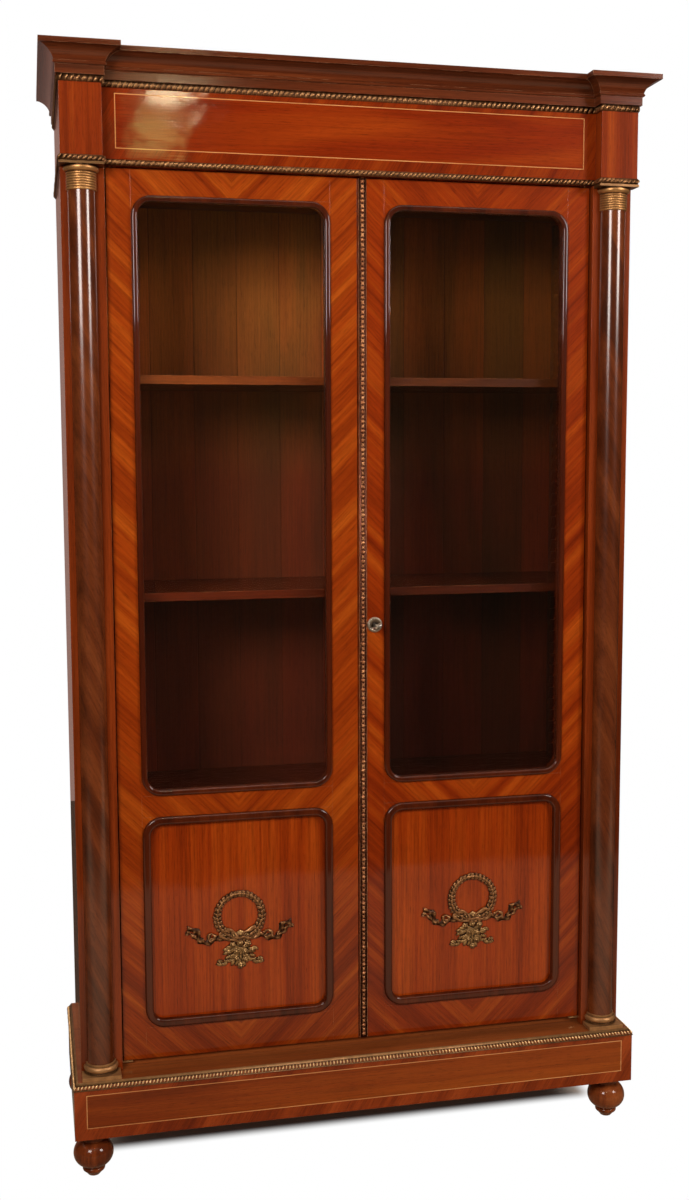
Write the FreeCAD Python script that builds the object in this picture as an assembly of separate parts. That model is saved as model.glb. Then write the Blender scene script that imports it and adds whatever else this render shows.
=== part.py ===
# Two-door bookcase with half columns, glazed doors and brass mounts.
# All sizes are in millimetres. X runs across the front, Y towards the wall and Z up.
# The origin is on the floor, in the middle of the overall width and depth.
import FreeCAD, Part
import math
import os

from FreeCAD import Vector

# Case, seen from the front and from above
case_width = 1174.0
case_depth = 413.0
block_projection = 31.0
plinth_projection = 17.0
cornice_projection = 36.0
post_height = 1815.0
post_width = 84.0
post_thickness = 30.0
board_thickness = 22.0
back_thickness = 12.0

# Plinth and feet
foot_height = 96.0
foot_inset = 38.0
foot_depth_inset = 49.0
foot_ball_radius = 41.0
foot_ball_half_height = 28.0
foot_ball_middle = 48.0
foot_ring_radius = 23.0
foot_tip_radius = 12.0
foot_collar_radius = 30.0
foot_dowel_radius = 10.0
foot_dowel_length = 40.0
foot_block_width = 56.0
foot_block_height = 70.0
plinth_board_height = 107.0
plinth_board_thickness = 20.0
plinth_top_thickness = 11.0
plinth_slope = 9.0
plinth_strip_thickness = 2.2
plinth_strip_drop = 3.0

# Half columns with their brass bases and capitals
column_radius_bottom = 28.0
column_radius_top = 26.5
column_inset = 40.0
base_height = 28.0
base_plate_half = 39.0
base_plate_thickness = 7.5
base_torus_radius = 35.0
base_torus_height = 14.0
base_fillet_radius = 30.5
base_fillet_height = 4.0
capital_height = 51.0
capital_drum_radius = 28.0
capital_ring_depth = 1.2
capital_ring_count = 7
capital_echinus_radius = 34.0
capital_echinus_height = 9.0
capital_neck_height = 3.0
abacus_thickness = 5.0
abacus_half = 43.0
abacus_projection = 34.0

# Frieze, blocks and cornice
frieze_height = 158.0
block_width = 80.0
lower_strip_height = 12.0
upper_strip_height = 13.0
strip_projection = 5.0
fascia_projection = 6.0
fascia_height = 17.0
bead_radius = 3.0
bead_step = 1.0
cove_start = 8.0
cove_end = 33.0
cove_height = 24.0
cornice_fillet_height = 10.0
roof_thickness = 12.0
roof_sink = 7.0

# Inside of the case
sill_height = 13.0
sill_setback = 10.0
inner_board_thickness = 20.0
door_stop_overlap = 14.0
stop_gap = 2.0
shelf_thickness = 17.0
shelf_front_setback = 62.0
shelf_back_gap = 4.0
shelf_end_gap = 1.0
rack_pitch = 27.5
rack_thickness = 12.0
rack_width = 22.0
rack_notch_depth = 8.0
rack_notch_height = 22.0
rack_edge_gap = 10.0
rack_front_inset = 2.0
rack_back_inset = 4.0
pitches_between_shelves = 16
pitches_to_lowest_shelf = 17
cleat_height = 16.0
fit_gap = 0.2

# Doors
door_thickness = 26.0
door_recess = 13.0
door_gap = 2.0
door_side_gap = 3.0
meeting_gap = 2.0
hinge_stile_width = 47.0
meeting_stile_width = 55.0
top_rail_height = 49.0
lock_rail_height = 44.0
bottom_rail_height = 65.0
panel_opening_height = 445.0
corner_radius = 40.0
moulding_rise = 7.0
glass_moulding_width = 12.0
panel_moulding_width = 16.0
moulding_rounding = 4.5
glass_thickness = 4.0
glass_depth = 9.0
bead_width = 10.0
bead_thickness = 10.0
panel_depth = 7.0
panel_thickness = 12.0

# Door pivots
pivot_edge_distance = 7.0
pivot_face_distance = 6.0
pivot_radius = 3.0
pivot_clearance = 0.05
pivot_pin_length = 14.0
pivot_plate_length = 24.0
pivot_plate_width = 9.0
pivot_tongue_length = 14.0
pivot_plate_thickness = 3.0

# Lock, key and meeting strip on the right door
meeting_strip_width = 17.0
meeting_strip_thickness = 3.0
meeting_strip_inset = 1.0
key_height = 1121.0
key_edge_distance = 34.5
rosette_radius = 16.0
rosette_thickness = 4.0
keyhole_radius = 3.8
keyhole_slot_width = 4.0
lock_width = 44.0
lock_height = 70.0
lock_depth = 13.0
lock_wall = 2.0
lock_edge_distance = 5.0
bolt_height = 12.0
bolt_thickness = 5.0
bolt_throw = 9.0
bolt_above_key = 8.0
bolt_slot_gap = 0.3
bolt_tip_setback = 1.0
key_shank_radius = 3.0
key_clearance = 0.1
key_bit_reach = 10.0
key_bit_thickness = 3.0
key_bit_width = 5.0
key_bit_clearance = 0.8
bolt_notch_half_width = 6.0
key_bow_radius = 10.0
key_bow_thickness = 3.0
key_bow_hole_radius = 5.5
key_projection = 36.0
key_rest_angle = 30.0

# Two slide bolts behind the left door
slide_bolt_radius = 4.0
slide_bolt_length = 98.0
slide_bolt_edge_distance = 27.0
slide_bolt_setoff = 10.0
slide_bolt_travel = 12.0
slide_bolt_clearance = 2.0
slide_case_length = 70.0
slide_case_width = 24.0
slide_case_plate = 2.0
slide_guide_height = 14.0
slide_guide_width = 16.0
slide_guide_depth = 16.5
slide_knob_radius = 3.5
slide_knob_length = 12.0
slide_hole_gap = 0.5
slide_bore_gap = 0.05

# Gilt wreath mounts on the lower panels
mount_height = 518.0
wreath_radius = 54.0
wreath_width_top = 11.0
wreath_thickness = 5.0
ribbon_half_span = 112.0
ribbon_width = 14.0
ribbon_thickness = 3.0
ribbon_drop = 56.0
ribbon_rise = 16.0
ribbon_dip = 8.0
ribbon_tip_width = 6.0
ribbon_curl_width = 16.0
flower_half_width = 50.0
flower_height = 62.0
flower_thickness = 6.0
flower_bud_radius = 10.0
flower_shoulder = 12.0

# Places worked out from the sizes above
half_width = case_width / 2
block_face = cornice_projection - (case_depth + cornice_projection) / 2
back_plane = block_face + case_depth
front_plane = block_face + block_projection
plinth_half = half_width + plinth_projection
plinth_face = block_face - plinth_projection
plinth_bottom = foot_height
plinth_board_top = plinth_bottom + plinth_board_height
plinth_top = plinth_board_top + plinth_top_thickness
frieze_bottom = plinth_top + post_height
cornice_bottom = frieze_bottom + frieze_height
cove_bottom = cornice_bottom + fascia_height + 2 * bead_radius
fillet_bottom = cove_bottom + cove_height
overall_height = fillet_bottom + cornice_fillet_height
post_inner = half_width - post_width
post_back = front_plane + post_thickness
side_inner = half_width - board_thickness
back_inner = back_plane - back_thickness
column_x = half_width - column_inset
block_inner = half_width - block_width

door_face = front_plane + door_recess
door_back = door_face + door_thickness
door_bottom = plinth_top + sill_height + door_gap
door_top = frieze_bottom - door_gap
door_outer = post_inner - door_side_gap
door_inner = meeting_gap / 2
opening_outer = door_outer - hinge_stile_width
opening_inner = door_inner + meeting_stile_width
opening_middle = (opening_outer + opening_inner) / 2
panel_low = door_bottom + bottom_rail_height
panel_high = panel_low + panel_opening_height
glass_low = panel_high + lock_rail_height
glass_high = door_top - top_rail_height
pivot_x = door_outer - pivot_edge_distance
pivot_y = door_face + pivot_face_distance

stop_plane = door_back + stop_gap
bottom_board_top = door_bottom + door_stop_overlap
bottom_board_low = bottom_board_top - inner_board_thickness
top_board_low = door_top - door_stop_overlap + door_gap
top_board_high = top_board_low + inner_board_thickness
shelf_front = front_plane + shelf_front_setback
shelf_back = back_inner - shelf_back_gap
rack_low = bottom_board_top + rack_edge_gap
rack_high = top_board_low - rack_edge_gap
rack_inner = side_inner - rack_thickness
front_rack_near = shelf_front + rack_front_inset
front_rack_far = front_rack_near + rack_width
back_rack_far = shelf_back - rack_back_inset
back_rack_near = back_rack_far - rack_width


def box(x0, x1, y0, y1, z0, z1):
    """A board between two corners."""
    corner = Vector(min(x0, x1), min(y0, y1), min(z0, z1))
    return Part.makeBox(abs(x1 - x0), abs(y1 - y0), abs(z1 - z0), corner)


def mirrored(shape):
    """The same piece on the other side of the bookcase."""
    return shape.mirror(Vector(0, 0, 0), Vector(1, 0, 0))


def export(name, *solids):
    """Writes one STEP file that holds the solids of one named piece."""
    shape = solids[0] if len(solids) == 1 else Part.makeCompound(list(solids))
    shape.exportStep(os.path.join("parts", name + ".step"))


def face_from(points, place):
    """A closed face from (a, b) points, with each point put in space by place(a, b).

    A point with four values ends an arc that goes through its first pair.
    """
    edges = []
    start = points[0]
    last = start
    for point in points[1:] + [start[:2]]:
        end = point[-2:]
        if abs(end[0] - last[-2]) < 1e-9 and abs(end[1] - last[-1]) < 1e-9:
            continue
        if len(point) == 4:
            edges.append(Part.Arc(place(*last[-2:]), place(*point[:2]), place(*end)).toShape())
        else:
            edges.append(Part.makeLine(place(*last[-2:]), place(*end)))
        last = point
    return Part.Face(Part.Wire(edges))


def turned(profile, x, y):
    """A turned piece on an upright axis; the profile is (radius, height) points from axis to axis."""
    face = face_from(profile, lambda r, z: Vector(x + r, y, z))
    return face.revolve(Vector(x, y, 0), Vector(0, 0, 1), 360)


def half_turned(profile, x, y):
    """The front half of a turned piece, with its flat back on the plane Y = y."""
    whole = turned(profile, x, y)
    reach = 2 * max(point[-2] for point in profile)
    low = min(point[-1] for point in profile) - 1
    high = max(point[-1] for point in profile) + 1
    return whole.common(box(x - reach, x + reach, y - reach, y, low, high))


def mitre_zone(x0, x1, y0, y1, low, high):
    """The wedge in front of a block that its front moulding fills, between two mitre planes."""
    reach = x1 - x0 + y1 - y0
    depth = min((x1 - x0) / 2, y1 - y0)
    corners = [
        (x0 - reach, y0 - reach),
        (x1 + reach, y0 - reach),
        (x1 - depth, y0 + depth),
        (x0 + depth, y0 + depth),
    ]
    face = face_from(corners, lambda x, y: Vector(x, y, low - 1))
    return face.extrude(Vector(0, 0, high - low + 2))


def moulding_lengths(x0, x1, y0, y1, profile):
    """The front length and the two side lengths of a moulded block, mitred at the corners.

    The profile is (projection, height) points from the lowest to the highest.
    """
    reach = max(point[-2] for point in profile) + 1
    low = profile[0][-1]
    high = profile[-1][-1]
    zone = mitre_zone(x0, x1, y0, y1, low, high)
    front_points = [(y1, low)] + [shifted(point, y0, -1) for point in profile] + [(y1, high)]
    front = face_from(front_points, lambda y, z: Vector(x0 - reach, y, z))
    front = front.extrude(Vector(x1 - x0 + 2 * reach, 0, 0)).common(zone)
    middle = (x0 + x1) / 2
    sides = []
    for edge, turn in ((x0, -1), (x1, 1)):
        points = [(middle, low)] + [shifted(point, edge, turn) for point in profile] + [(middle, high)]
        side = face_from(points, lambda x, z: Vector(x, y0 - reach, z))
        sides.append(side.extrude(Vector(0, y1 - y0 + reach, 0)).cut(zone))
    return front, sides[0], sides[1]


def moulded_block(x0, x1, y0, y1, profile):
    """A block whose front and both ends carry a moulding."""
    front, left, right = moulding_lengths(x0, x1, y0, y1, profile)
    return front.fuse([left, right]).removeSplitter()


def shifted(point, plane, turn):
    """A profile point measured from a plane, towards turn."""
    if len(point) == 4:
        return (plane + turn * point[0], point[1], plane + turn * point[2], point[3])
    return (plane + turn * point[0], point[1])


def rounded_prism(x0, x1, z0, z1, radius, y0, y1):
    """An upright slab with four rounded corners, from y0 back to y1."""
    face = face_from(rounded_points(x0, x1, z0, z1, radius), lambda x, z: Vector(x, y0, z))
    return face.extrude(Vector(0, y1 - y0, 0))


def rounded_points(x0, x1, z0, z1, radius):
    """The outline of a rectangle with rounded corners."""
    near = radius * (1 - math.sqrt(0.5))
    return [
        (x0 + radius, z0),
        (x1 - radius, z0),
        (x1 - near, z0 + near, x1, z0 + radius),
        (x1, z1 - radius),
        (x1 - near, z1 - near, x1 - radius, z1),
        (x0 + radius, z1),
        (x0 + near, z1 - near, x0, z1 - radius),
        (x0, z0 + radius),
        (x0 + near, z0 + near, x0 + radius, z0),
    ]


def ring(x0, x1, z0, z1, radius, width, y0, y1, rounding):
    """A rounded frame of one width; its front edges are rounded where rounding is more than 0."""
    outer = rounded_prism(x0, x1, z0, z1, radius, y0, y1)
    hole_radius = max(radius - width, 1.0)
    hole = rounded_prism(x0 + width, x1 - width, z0 + width, z1 - width, hole_radius, y0 - 1, y1 + 1)
    frame = outer.cut(hole)
    if rounding > 0:
        front_edges = [edge for edge in frame.Edges if on_plane(edge, y0)]
        frame = frame.makeFillet(min(rounding, width / 2 - 0.5), front_edges)
    return frame


def on_plane(edge, y):
    """True for an edge that lies whole in the plane Y = y."""
    return abs(edge.BoundBox.YMin - y) < 1e-4 and abs(edge.BoundBox.YMax - y) < 1e-4


def drilled(x, y, z0, z1, radius):
    """An upright cylinder, for a pin or for the hole that takes it."""
    return Part.makeCylinder(radius, abs(z1 - z0), Vector(x, y, min(z0, z1)))


def level_pin(x, z, y0, y1, radius):
    """A cylinder that runs from front to back."""
    return Part.makeCylinder(radius, y1 - y0, Vector(x, y0, z), Vector(0, 1, 0))


def plinth():
    """Boards, corner blocks and the sloping brass strip of the plinth."""
    front_back = plinth_face + plinth_board_thickness
    rear_front = back_plane - plinth_board_thickness
    side_inside = plinth_half - plinth_board_thickness
    export("plinth_front_board",
           box(-plinth_half, plinth_half, plinth_face, front_back, plinth_bottom, plinth_board_top))
    side = box(side_inside, plinth_half, front_back, back_plane, plinth_bottom, plinth_board_top)
    export("plinth_side_boards", side, mirrored(side))
    export("plinth_back_board",
           box(-side_inside, side_inside, rear_front, back_plane, plinth_bottom, plinth_board_top))
    slope = [(0.0, plinth_board_top), (-plinth_slope, plinth_top)]
    top = moulded_block(-plinth_half, plinth_half, plinth_face, back_plane, slope)
    export("plinth_top_board", top)
    corner_blocks = []
    for y in foot_rows():
        block = box(side_inside - foot_block_width, side_inside,
                    max(y - foot_block_width / 2, front_back), min(y + foot_block_width / 2, rear_front),
                    plinth_bottom, plinth_bottom + foot_block_height)
        hole = drilled(plinth_half - foot_inset, y, plinth_bottom,
                       plinth_bottom + foot_dowel_length + fit_gap, foot_dowel_radius + fit_gap)
        block = block.cut(hole)
        corner_blocks += [block, mirrored(block)]
    export("plinth_corner_blocks", *corner_blocks)
    strips()


def strips():
    """The leaf strip on the plinth's sloping edge, as a front length and two mitred side lengths."""
    lip = plinth_strip_thickness
    foot = plinth_board_top - plinth_strip_drop
    outer = [(0.0, foot), (lip, foot), (lip, plinth_board_top), (lip - plinth_slope, plinth_top)]
    inner = [(0.0, foot - 1), (0.0, plinth_board_top), (-plinth_slope, plinth_top)]
    core = moulded_block(-plinth_half, plinth_half, plinth_face, back_plane + 1, inner)
    lengths = moulding_lengths(-plinth_half, plinth_half, plinth_face, back_plane, outer)
    export("plinth_brass_strip", *[length.cut(core) for length in lengths])


def foot_rows():
    """The two Y positions of the feet."""
    return (plinth_face + foot_depth_inset, back_plane - foot_depth_inset)


def feet():
    """Four turned bun feet with a ring, a tapered tip and a dowel into the plinth."""
    low = foot_ball_middle - foot_ball_half_height
    high = foot_ball_middle + foot_ball_half_height
    waist = foot_ring_radius - 3
    collar_low = high + (foot_height - high) / 2
    side = math.sqrt(0.75)
    profile = [
        (0.0, 0.0),
        (foot_tip_radius, 0.0),
        (waist - 1, low * 0.42),
        (foot_ring_radius, low * 0.65, waist, low * 0.95),
        (waist, low),
        (foot_ball_radius * side, foot_ball_middle - foot_ball_half_height * 0.62,
         foot_ball_radius, foot_ball_middle),
        (foot_ball_radius * side, foot_ball_middle + foot_ball_half_height * 0.62, waist + 3, high),
        (waist + 3, collar_low),
        (foot_collar_radius, collar_low),
        (foot_collar_radius, foot_height),
        (foot_dowel_radius, foot_height),
        (foot_dowel_radius, foot_height + foot_dowel_length),
        (0.0, foot_height + foot_dowel_length),
    ]
    pieces = []
    for y in foot_rows():
        foot = turned(profile, plinth_half - foot_inset, y)
        pieces += [foot, mirrored(foot)]
    export("bun_feet", *pieces)


def carcass():
    """Sides, posts, back, bottom and top boards of the case."""
    side = box(side_inner, half_width, post_back, back_plane, plinth_top, cornice_bottom)
    export("side_boards", side, mirrored(side))
    post = box(post_inner, half_width, front_plane, post_back, plinth_top, frieze_bottom)
    export("front_posts", post, mirrored(post))
    roof_low = overall_height - roof_sink - roof_thickness
    export("back_panel", box(-side_inner, side_inner, back_inner, back_plane, plinth_top, roof_low))
    export("roof_board", box(-side_inner, side_inner, post_back, back_plane, roof_low, roof_low + roof_thickness))
    sill_front = door_face + sill_setback
    sill_top = plinth_top + sill_height
    bottom = box(-side_inner, side_inner, stop_plane, back_inner, bottom_board_low, bottom_board_top)
    sill = box(-post_inner, post_inner, sill_front, stop_plane + inner_board_thickness, plinth_top, sill_top)
    bottom = bottom.fuse(sill).removeSplitter()
    plate = pivot_plate_space(sill_top, -1)
    bottom = bottom.cut(plate).cut(mirrored(plate))
    hole_radius = slide_bolt_radius + slide_hole_gap
    bottom = bottom.cut(drilled(slide_bolt_x(), slide_bolt_y(), bottom_board_low, bottom_board_top, hole_radius))
    export("bottom_board", bottom)
    top = box(-side_inner, side_inner, stop_plane, back_inner, top_board_low, top_board_high)
    bridge = box(-side_inner, side_inner, post_back, stop_plane, frieze_bottom, top_board_high)
    top = top.fuse(bridge).removeSplitter()
    plate = pivot_plate_space(frieze_bottom, 1)
    top = top.cut(plate).cut(mirrored(plate))
    top = top.cut(drilled(slide_bolt_x(), slide_bolt_y(), top_board_low,
                          top_board_low + slide_bolt_travel + slide_hole_gap, hole_radius))
    export("top_board", top)


def frieze():
    """Frieze board with the two blocks that stand forward over the columns."""
    board = box(-half_width, half_width, front_plane, post_back, frieze_bottom, cornice_bottom)
    plate = pivot_plate_space(frieze_bottom, 1)
    export("frieze_board", board.cut(plate).cut(mirrored(plate)))
    block = box(block_inner, half_width, block_face, front_plane, frieze_bottom, cornice_bottom)
    export("frieze_blocks", block, mirrored(block))
    brass_strip("lower_brass_strip", frieze_bottom, lower_strip_height)
    brass_strip("upper_brass_strip", cornice_bottom - upper_strip_height, upper_strip_height)


def brass_strip(name, low, height):
    """A rounded strip along the frieze, with two lengths that turn round the blocks and run back."""
    edge = 1.0
    profile = [
        (0.0, low),
        (edge, low),
        (strip_projection, low + height / 2, edge, low + height),
        (0.0, low + height),
    ]
    middle = moulded_block(-half_width, half_width, front_plane, post_back, profile)
    limit = block_inner - strip_projection
    middle = middle.common(box(-limit, limit, front_plane - strip_projection, front_plane, low, low + height))
    wrap = moulded_block(block_inner, half_width, block_face, back_plane, profile)
    wrap = wrap.cut(box(block_inner, half_width, block_face, back_plane, low, low + height))
    behind = box(0, block_inner, front_plane, back_plane + 1, low, low + height)
    wrap = wrap.cut(behind)
    export(name, middle, wrap, mirrored(wrap))


def cornice_profile():
    """Fascia, bead, cove and top fillet, as projections over the frieze."""
    bead_low = cornice_bottom + fascia_height
    cove_middle = cove_start + (cove_end - cove_start) * 0.27
    return [
        (fascia_projection, cornice_bottom),
        (fascia_projection, bead_low),
        (fascia_projection + bead_step, bead_low),
        (fascia_projection + bead_step + bead_radius, bead_low + bead_radius,
         fascia_projection + bead_step, cove_bottom),
        (cove_start, cove_bottom),
        (cove_middle, cove_bottom + cove_height * 0.55, cove_end, fillet_bottom),
        (cornice_projection, fillet_bottom),
        (cornice_projection, overall_height),
    ]


def cornice():
    """Cornice front and the two ends that step forward over the blocks."""
    profile = cornice_profile()
    front = moulded_block(-half_width, half_width, front_plane, post_back, profile)
    end = moulded_block(block_inner, half_width, block_face, back_plane, profile)
    inside = box(0, side_inner, post_back, back_plane + 1, cornice_bottom, overall_height)
    end = end.cut(inside)
    front = front.cut(end).cut(mirrored(end))
    middle = [solid for solid in front.Solids if abs(solid.CenterOfMass.x) < 1]
    export("cornice_front", *middle)
    export("right_cornice", end)
    export("left_cornice", mirrored(end))


def columns():
    """Half-round shafts between turned brass bases and capitals with square plates."""
    base_top = plinth_top + base_height
    capital_low = frieze_bottom - capital_height
    shaft = [
        (0.0, base_top),
        (column_radius_bottom, base_top),
        (column_radius_top, capital_low),
        (0.0, capital_low),
    ]
    shaft = half_turned(shaft, column_x, front_plane)
    export("right_column_shaft", shaft)
    export("left_column_shaft", mirrored(shaft))
    base = column_base(base_top)
    export("column_bases", base, mirrored(base))
    capital = column_capital(capital_low)
    export("column_capitals", capital, mirrored(capital))


def column_base(base_top):
    """A square plate, a torus and a fillet."""
    plate_top = plinth_top + base_plate_thickness
    fillet_low = base_top - base_fillet_height
    torus_low = fillet_low - base_torus_height
    neck = base_torus_radius - base_torus_height / 2
    profile = [
        (0.0, plate_top - 1),
        (neck + 4, plate_top - 1),
        (neck + 4, torus_low),
        (neck, torus_low),
        (base_torus_radius, torus_low + base_torus_height / 2, neck, fillet_low),
        (base_fillet_radius, fillet_low),
        (base_fillet_radius, base_top),
        (0.0, base_top),
    ]
    plate = box(column_x - base_plate_half, column_x + base_plate_half,
                front_plane - base_plate_half, front_plane, plinth_top, plate_top)
    return plate.fuse(half_turned(profile, column_x, front_plane)).removeSplitter()


def column_capital(capital_low):
    """A ringed drum, an echinus and a square abacus."""
    abacus_low = frieze_bottom - abacus_thickness
    echinus_high = abacus_low - capital_neck_height
    echinus_low = echinus_high - capital_echinus_height
    ring_height = (echinus_low - capital_low) / capital_ring_count
    profile = [(0.0, capital_low), (capital_drum_radius, capital_low)]
    for number in range(capital_ring_count):
        low = capital_low + number * ring_height
        profile.append((capital_drum_radius + capital_ring_depth, low + ring_height / 2,
                        capital_drum_radius, low + ring_height))
    bulge = (capital_drum_radius + capital_echinus_radius) / 2
    profile += [
        (bulge + 2, echinus_low + capital_echinus_height * 0.35, capital_echinus_radius, echinus_high),
        (capital_drum_radius + 2, echinus_high),
        (capital_drum_radius + 2, abacus_low + 1),
        (0.0, abacus_low + 1),
    ]
    plate = box(column_x - abacus_half, column_x + abacus_half,
                front_plane - abacus_projection, front_plane, abacus_low, frieze_bottom)
    return plate.fuse(half_turned(profile, column_x, front_plane)).removeSplitter()


def shelf_levels():
    """The undersides of the three shelves, from the lowest up."""
    lowest = rack_low + pitches_to_lowest_shelf * rack_pitch + cleat_height + fit_gap
    return [lowest + number * pitches_between_shelves * rack_pitch for number in range(3)]


def shelves():
    """Notched racks, the cleats that hang in them and the shelves that lie on the cleats."""
    front_rack = rack(front_rack_near, front_rack_far, 1)
    back_rack = rack(back_rack_far, back_rack_near, -1)
    export("shelf_racks", front_rack, back_rack, mirrored(front_rack), mirrored(back_rack))
    cleats = []
    for level in shelf_levels():
        cleat = shelf_cleat(level - cleat_height)
        cleats += [cleat, mirrored(cleat)]
    export("shelf_cleats", *cleats)
    for name, level in zip(("lower_shelf", "middle_shelf", "upper_shelf"), shelf_levels()):
        end = side_inner - shelf_end_gap
        board = box(-end, end, shelf_front, shelf_back, level, level + shelf_thickness)
        for near, far in ((front_rack_near, front_rack_far), (back_rack_near, back_rack_far)):
            notch = box(rack_inner - fit_gap, side_inner, near - fit_gap, far + fit_gap,
                        level - 1, level + shelf_thickness + 1)
            board = board.cut(notch).cut(mirrored(notch))
        export(name, board)


def rack(plain_edge, notched_edge, turn):
    """An upright batten with saw-tooth notches along one edge."""
    points = [(plain_edge, rack_low), (notched_edge, rack_low)]
    count = int((rack_high - rack_low - rack_notch_height) // rack_pitch)
    for number in range(1, count + 1):
        low = rack_low + number * rack_pitch
        points += [
            (notched_edge, low),
            (notched_edge - turn * rack_notch_depth, low),
            (notched_edge, low + rack_notch_height),
        ]
    points += [(notched_edge, rack_high), (plain_edge, rack_high)]
    face = face_from(points, lambda y, z: Vector(rack_inner, y, z))
    return face.extrude(Vector(rack_thickness, 0, 0))


def shelf_cleat(low):
    """A bar from rack to rack, with ends cut to the slope of the notches."""
    depth = rack_notch_depth - 2 * fit_gap
    slope = rack_notch_depth / rack_notch_height
    top_depth = depth - cleat_height * slope
    front = front_rack_far
    back = back_rack_near
    points = [
        (front - depth, low),
        (back + depth, low),
        (back + top_depth, low + cleat_height),
        (front - top_depth, low + cleat_height),
    ]
    face = face_from(points, lambda y, z: Vector(rack_inner, y, z))
    return face.extrude(Vector(rack_thickness, 0, 0))


def slide_bolt_x():
    """Where the slide bolts stand behind the left door's meeting stile."""
    return -(door_inner + slide_bolt_edge_distance)


def slide_bolt_y():
    """The slide bolts' axis, behind the door."""
    return door_back + slide_bolt_setoff


def pivot_plate_space(level, turn):
    """The recess for a pivot plate; turn is -1 for a plate let in downwards and 1 upwards."""
    return box(pivot_x - pivot_plate_length / 2, post_inner,
               pivot_y - pivot_plate_width / 2, pivot_y + pivot_tongue_length,
               level, level + turn * pivot_plate_thickness)


def case_pivot(level, turn):
    """A plate let into the case, with the pin that carries the door; turn points to the door."""
    plate = pivot_plate_space(level, -turn)
    pin = drilled(pivot_x, pivot_y, level - turn * pivot_plate_thickness, level + turn * pivot_pin_length,
                  pivot_radius)
    return plate.fuse(pin).removeSplitter()


def socket_space(level, turn):
    """The recess for a door's socket plate; turn points into the door."""
    end = door_outer - pivot_clearance
    return box(pivot_x - pivot_plate_length / 2, end,
               pivot_y - pivot_plate_width / 2, pivot_y + pivot_plate_width / 2,
               level, level + turn * pivot_plate_thickness)


def socket_plate(level, turn):
    """A plate let into the door's edge, bored for the pin."""
    bore = drilled(pivot_x, pivot_y, level - turn, level + turn * (pivot_plate_thickness + 1),
                   pivot_radius + pivot_clearance)
    return socket_space(level, turn).cut(bore)


def door(side, finish):
    """The pieces that both doors share; finish mirrors a piece where the door is the left one."""
    hinge_stile = box(opening_outer, door_outer, door_face, door_back, door_bottom, door_top)
    for level, turn in ((door_bottom, 1), (door_top, -1)):
        hinge_stile = hinge_stile.cut(socket_space(level, turn))
        pin_hole = drilled(pivot_x, pivot_y, level, level + turn * (pivot_pin_length + fit_gap),
                           pivot_radius + slide_hole_gap)
        hinge_stile = hinge_stile.cut(pin_hole)
    export(side + "_door_hinge_stile", finish(hinge_stile))
    sockets = [finish(socket_plate(door_bottom, 1)), finish(socket_plate(door_top, -1))]
    export(side + "_door_pivot_sockets", *sockets)
    rails = []
    for low, high in ((glass_high, door_top), (panel_high, glass_low), (door_bottom, panel_low)):
        rails.append(finish(box(opening_inner, opening_outer, door_face, door_back, low, high)))
    export(side + "_door_rails", *rails)
    corners = []
    for low, high in ((glass_low, glass_high), (panel_low, panel_high)):
        space = box(opening_inner, opening_outer, door_face, door_back, low, high)
        hole = rounded_prism(opening_inner, opening_outer, low, high, corner_radius, door_face - 1, door_back + 1)
        corners += [finish(corner) for corner in space.cut(hole).Solids]
    export(side + "_door_corner_blocks", *corners)
    door_filling(side, finish)


def door_filling(side, finish):
    """Glass, lower panel, their mouldings and the glazing beads."""
    x0 = opening_inner + fit_gap
    x1 = opening_outer - fit_gap
    radius = corner_radius - fit_gap
    glass_front = door_face + glass_depth
    glass_back = glass_front + glass_thickness
    low = glass_low + fit_gap
    high = glass_high - fit_gap
    export(side + "_door_glass", finish(rounded_prism(x0, x1, low, high, radius, glass_front, glass_back)))
    export(side + "_door_glass_moulding",
           finish(ring(x0, x1, low, high, radius, glass_moulding_width,
                       door_face - moulding_rise, glass_front, moulding_rounding)))
    export(side + "_door_glazing_beads",
           finish(ring(x0, x1, low, high, radius, bead_width, glass_back, glass_back + bead_thickness, 0)))
    panel_front = door_face + panel_depth
    low = panel_low + fit_gap
    high = panel_high - fit_gap
    export(side + "_door_panel",
           finish(rounded_prism(x0, x1, low, high, radius, panel_front, panel_front + panel_thickness)))
    export(side + "_door_panel_moulding",
           finish(ring(x0, x1, low, high, radius, panel_moulding_width,
                       door_face - moulding_rise, panel_front, moulding_rounding)))
    export(side + "_door_wreath_mount", finish(wreath_mount(panel_front)))


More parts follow.
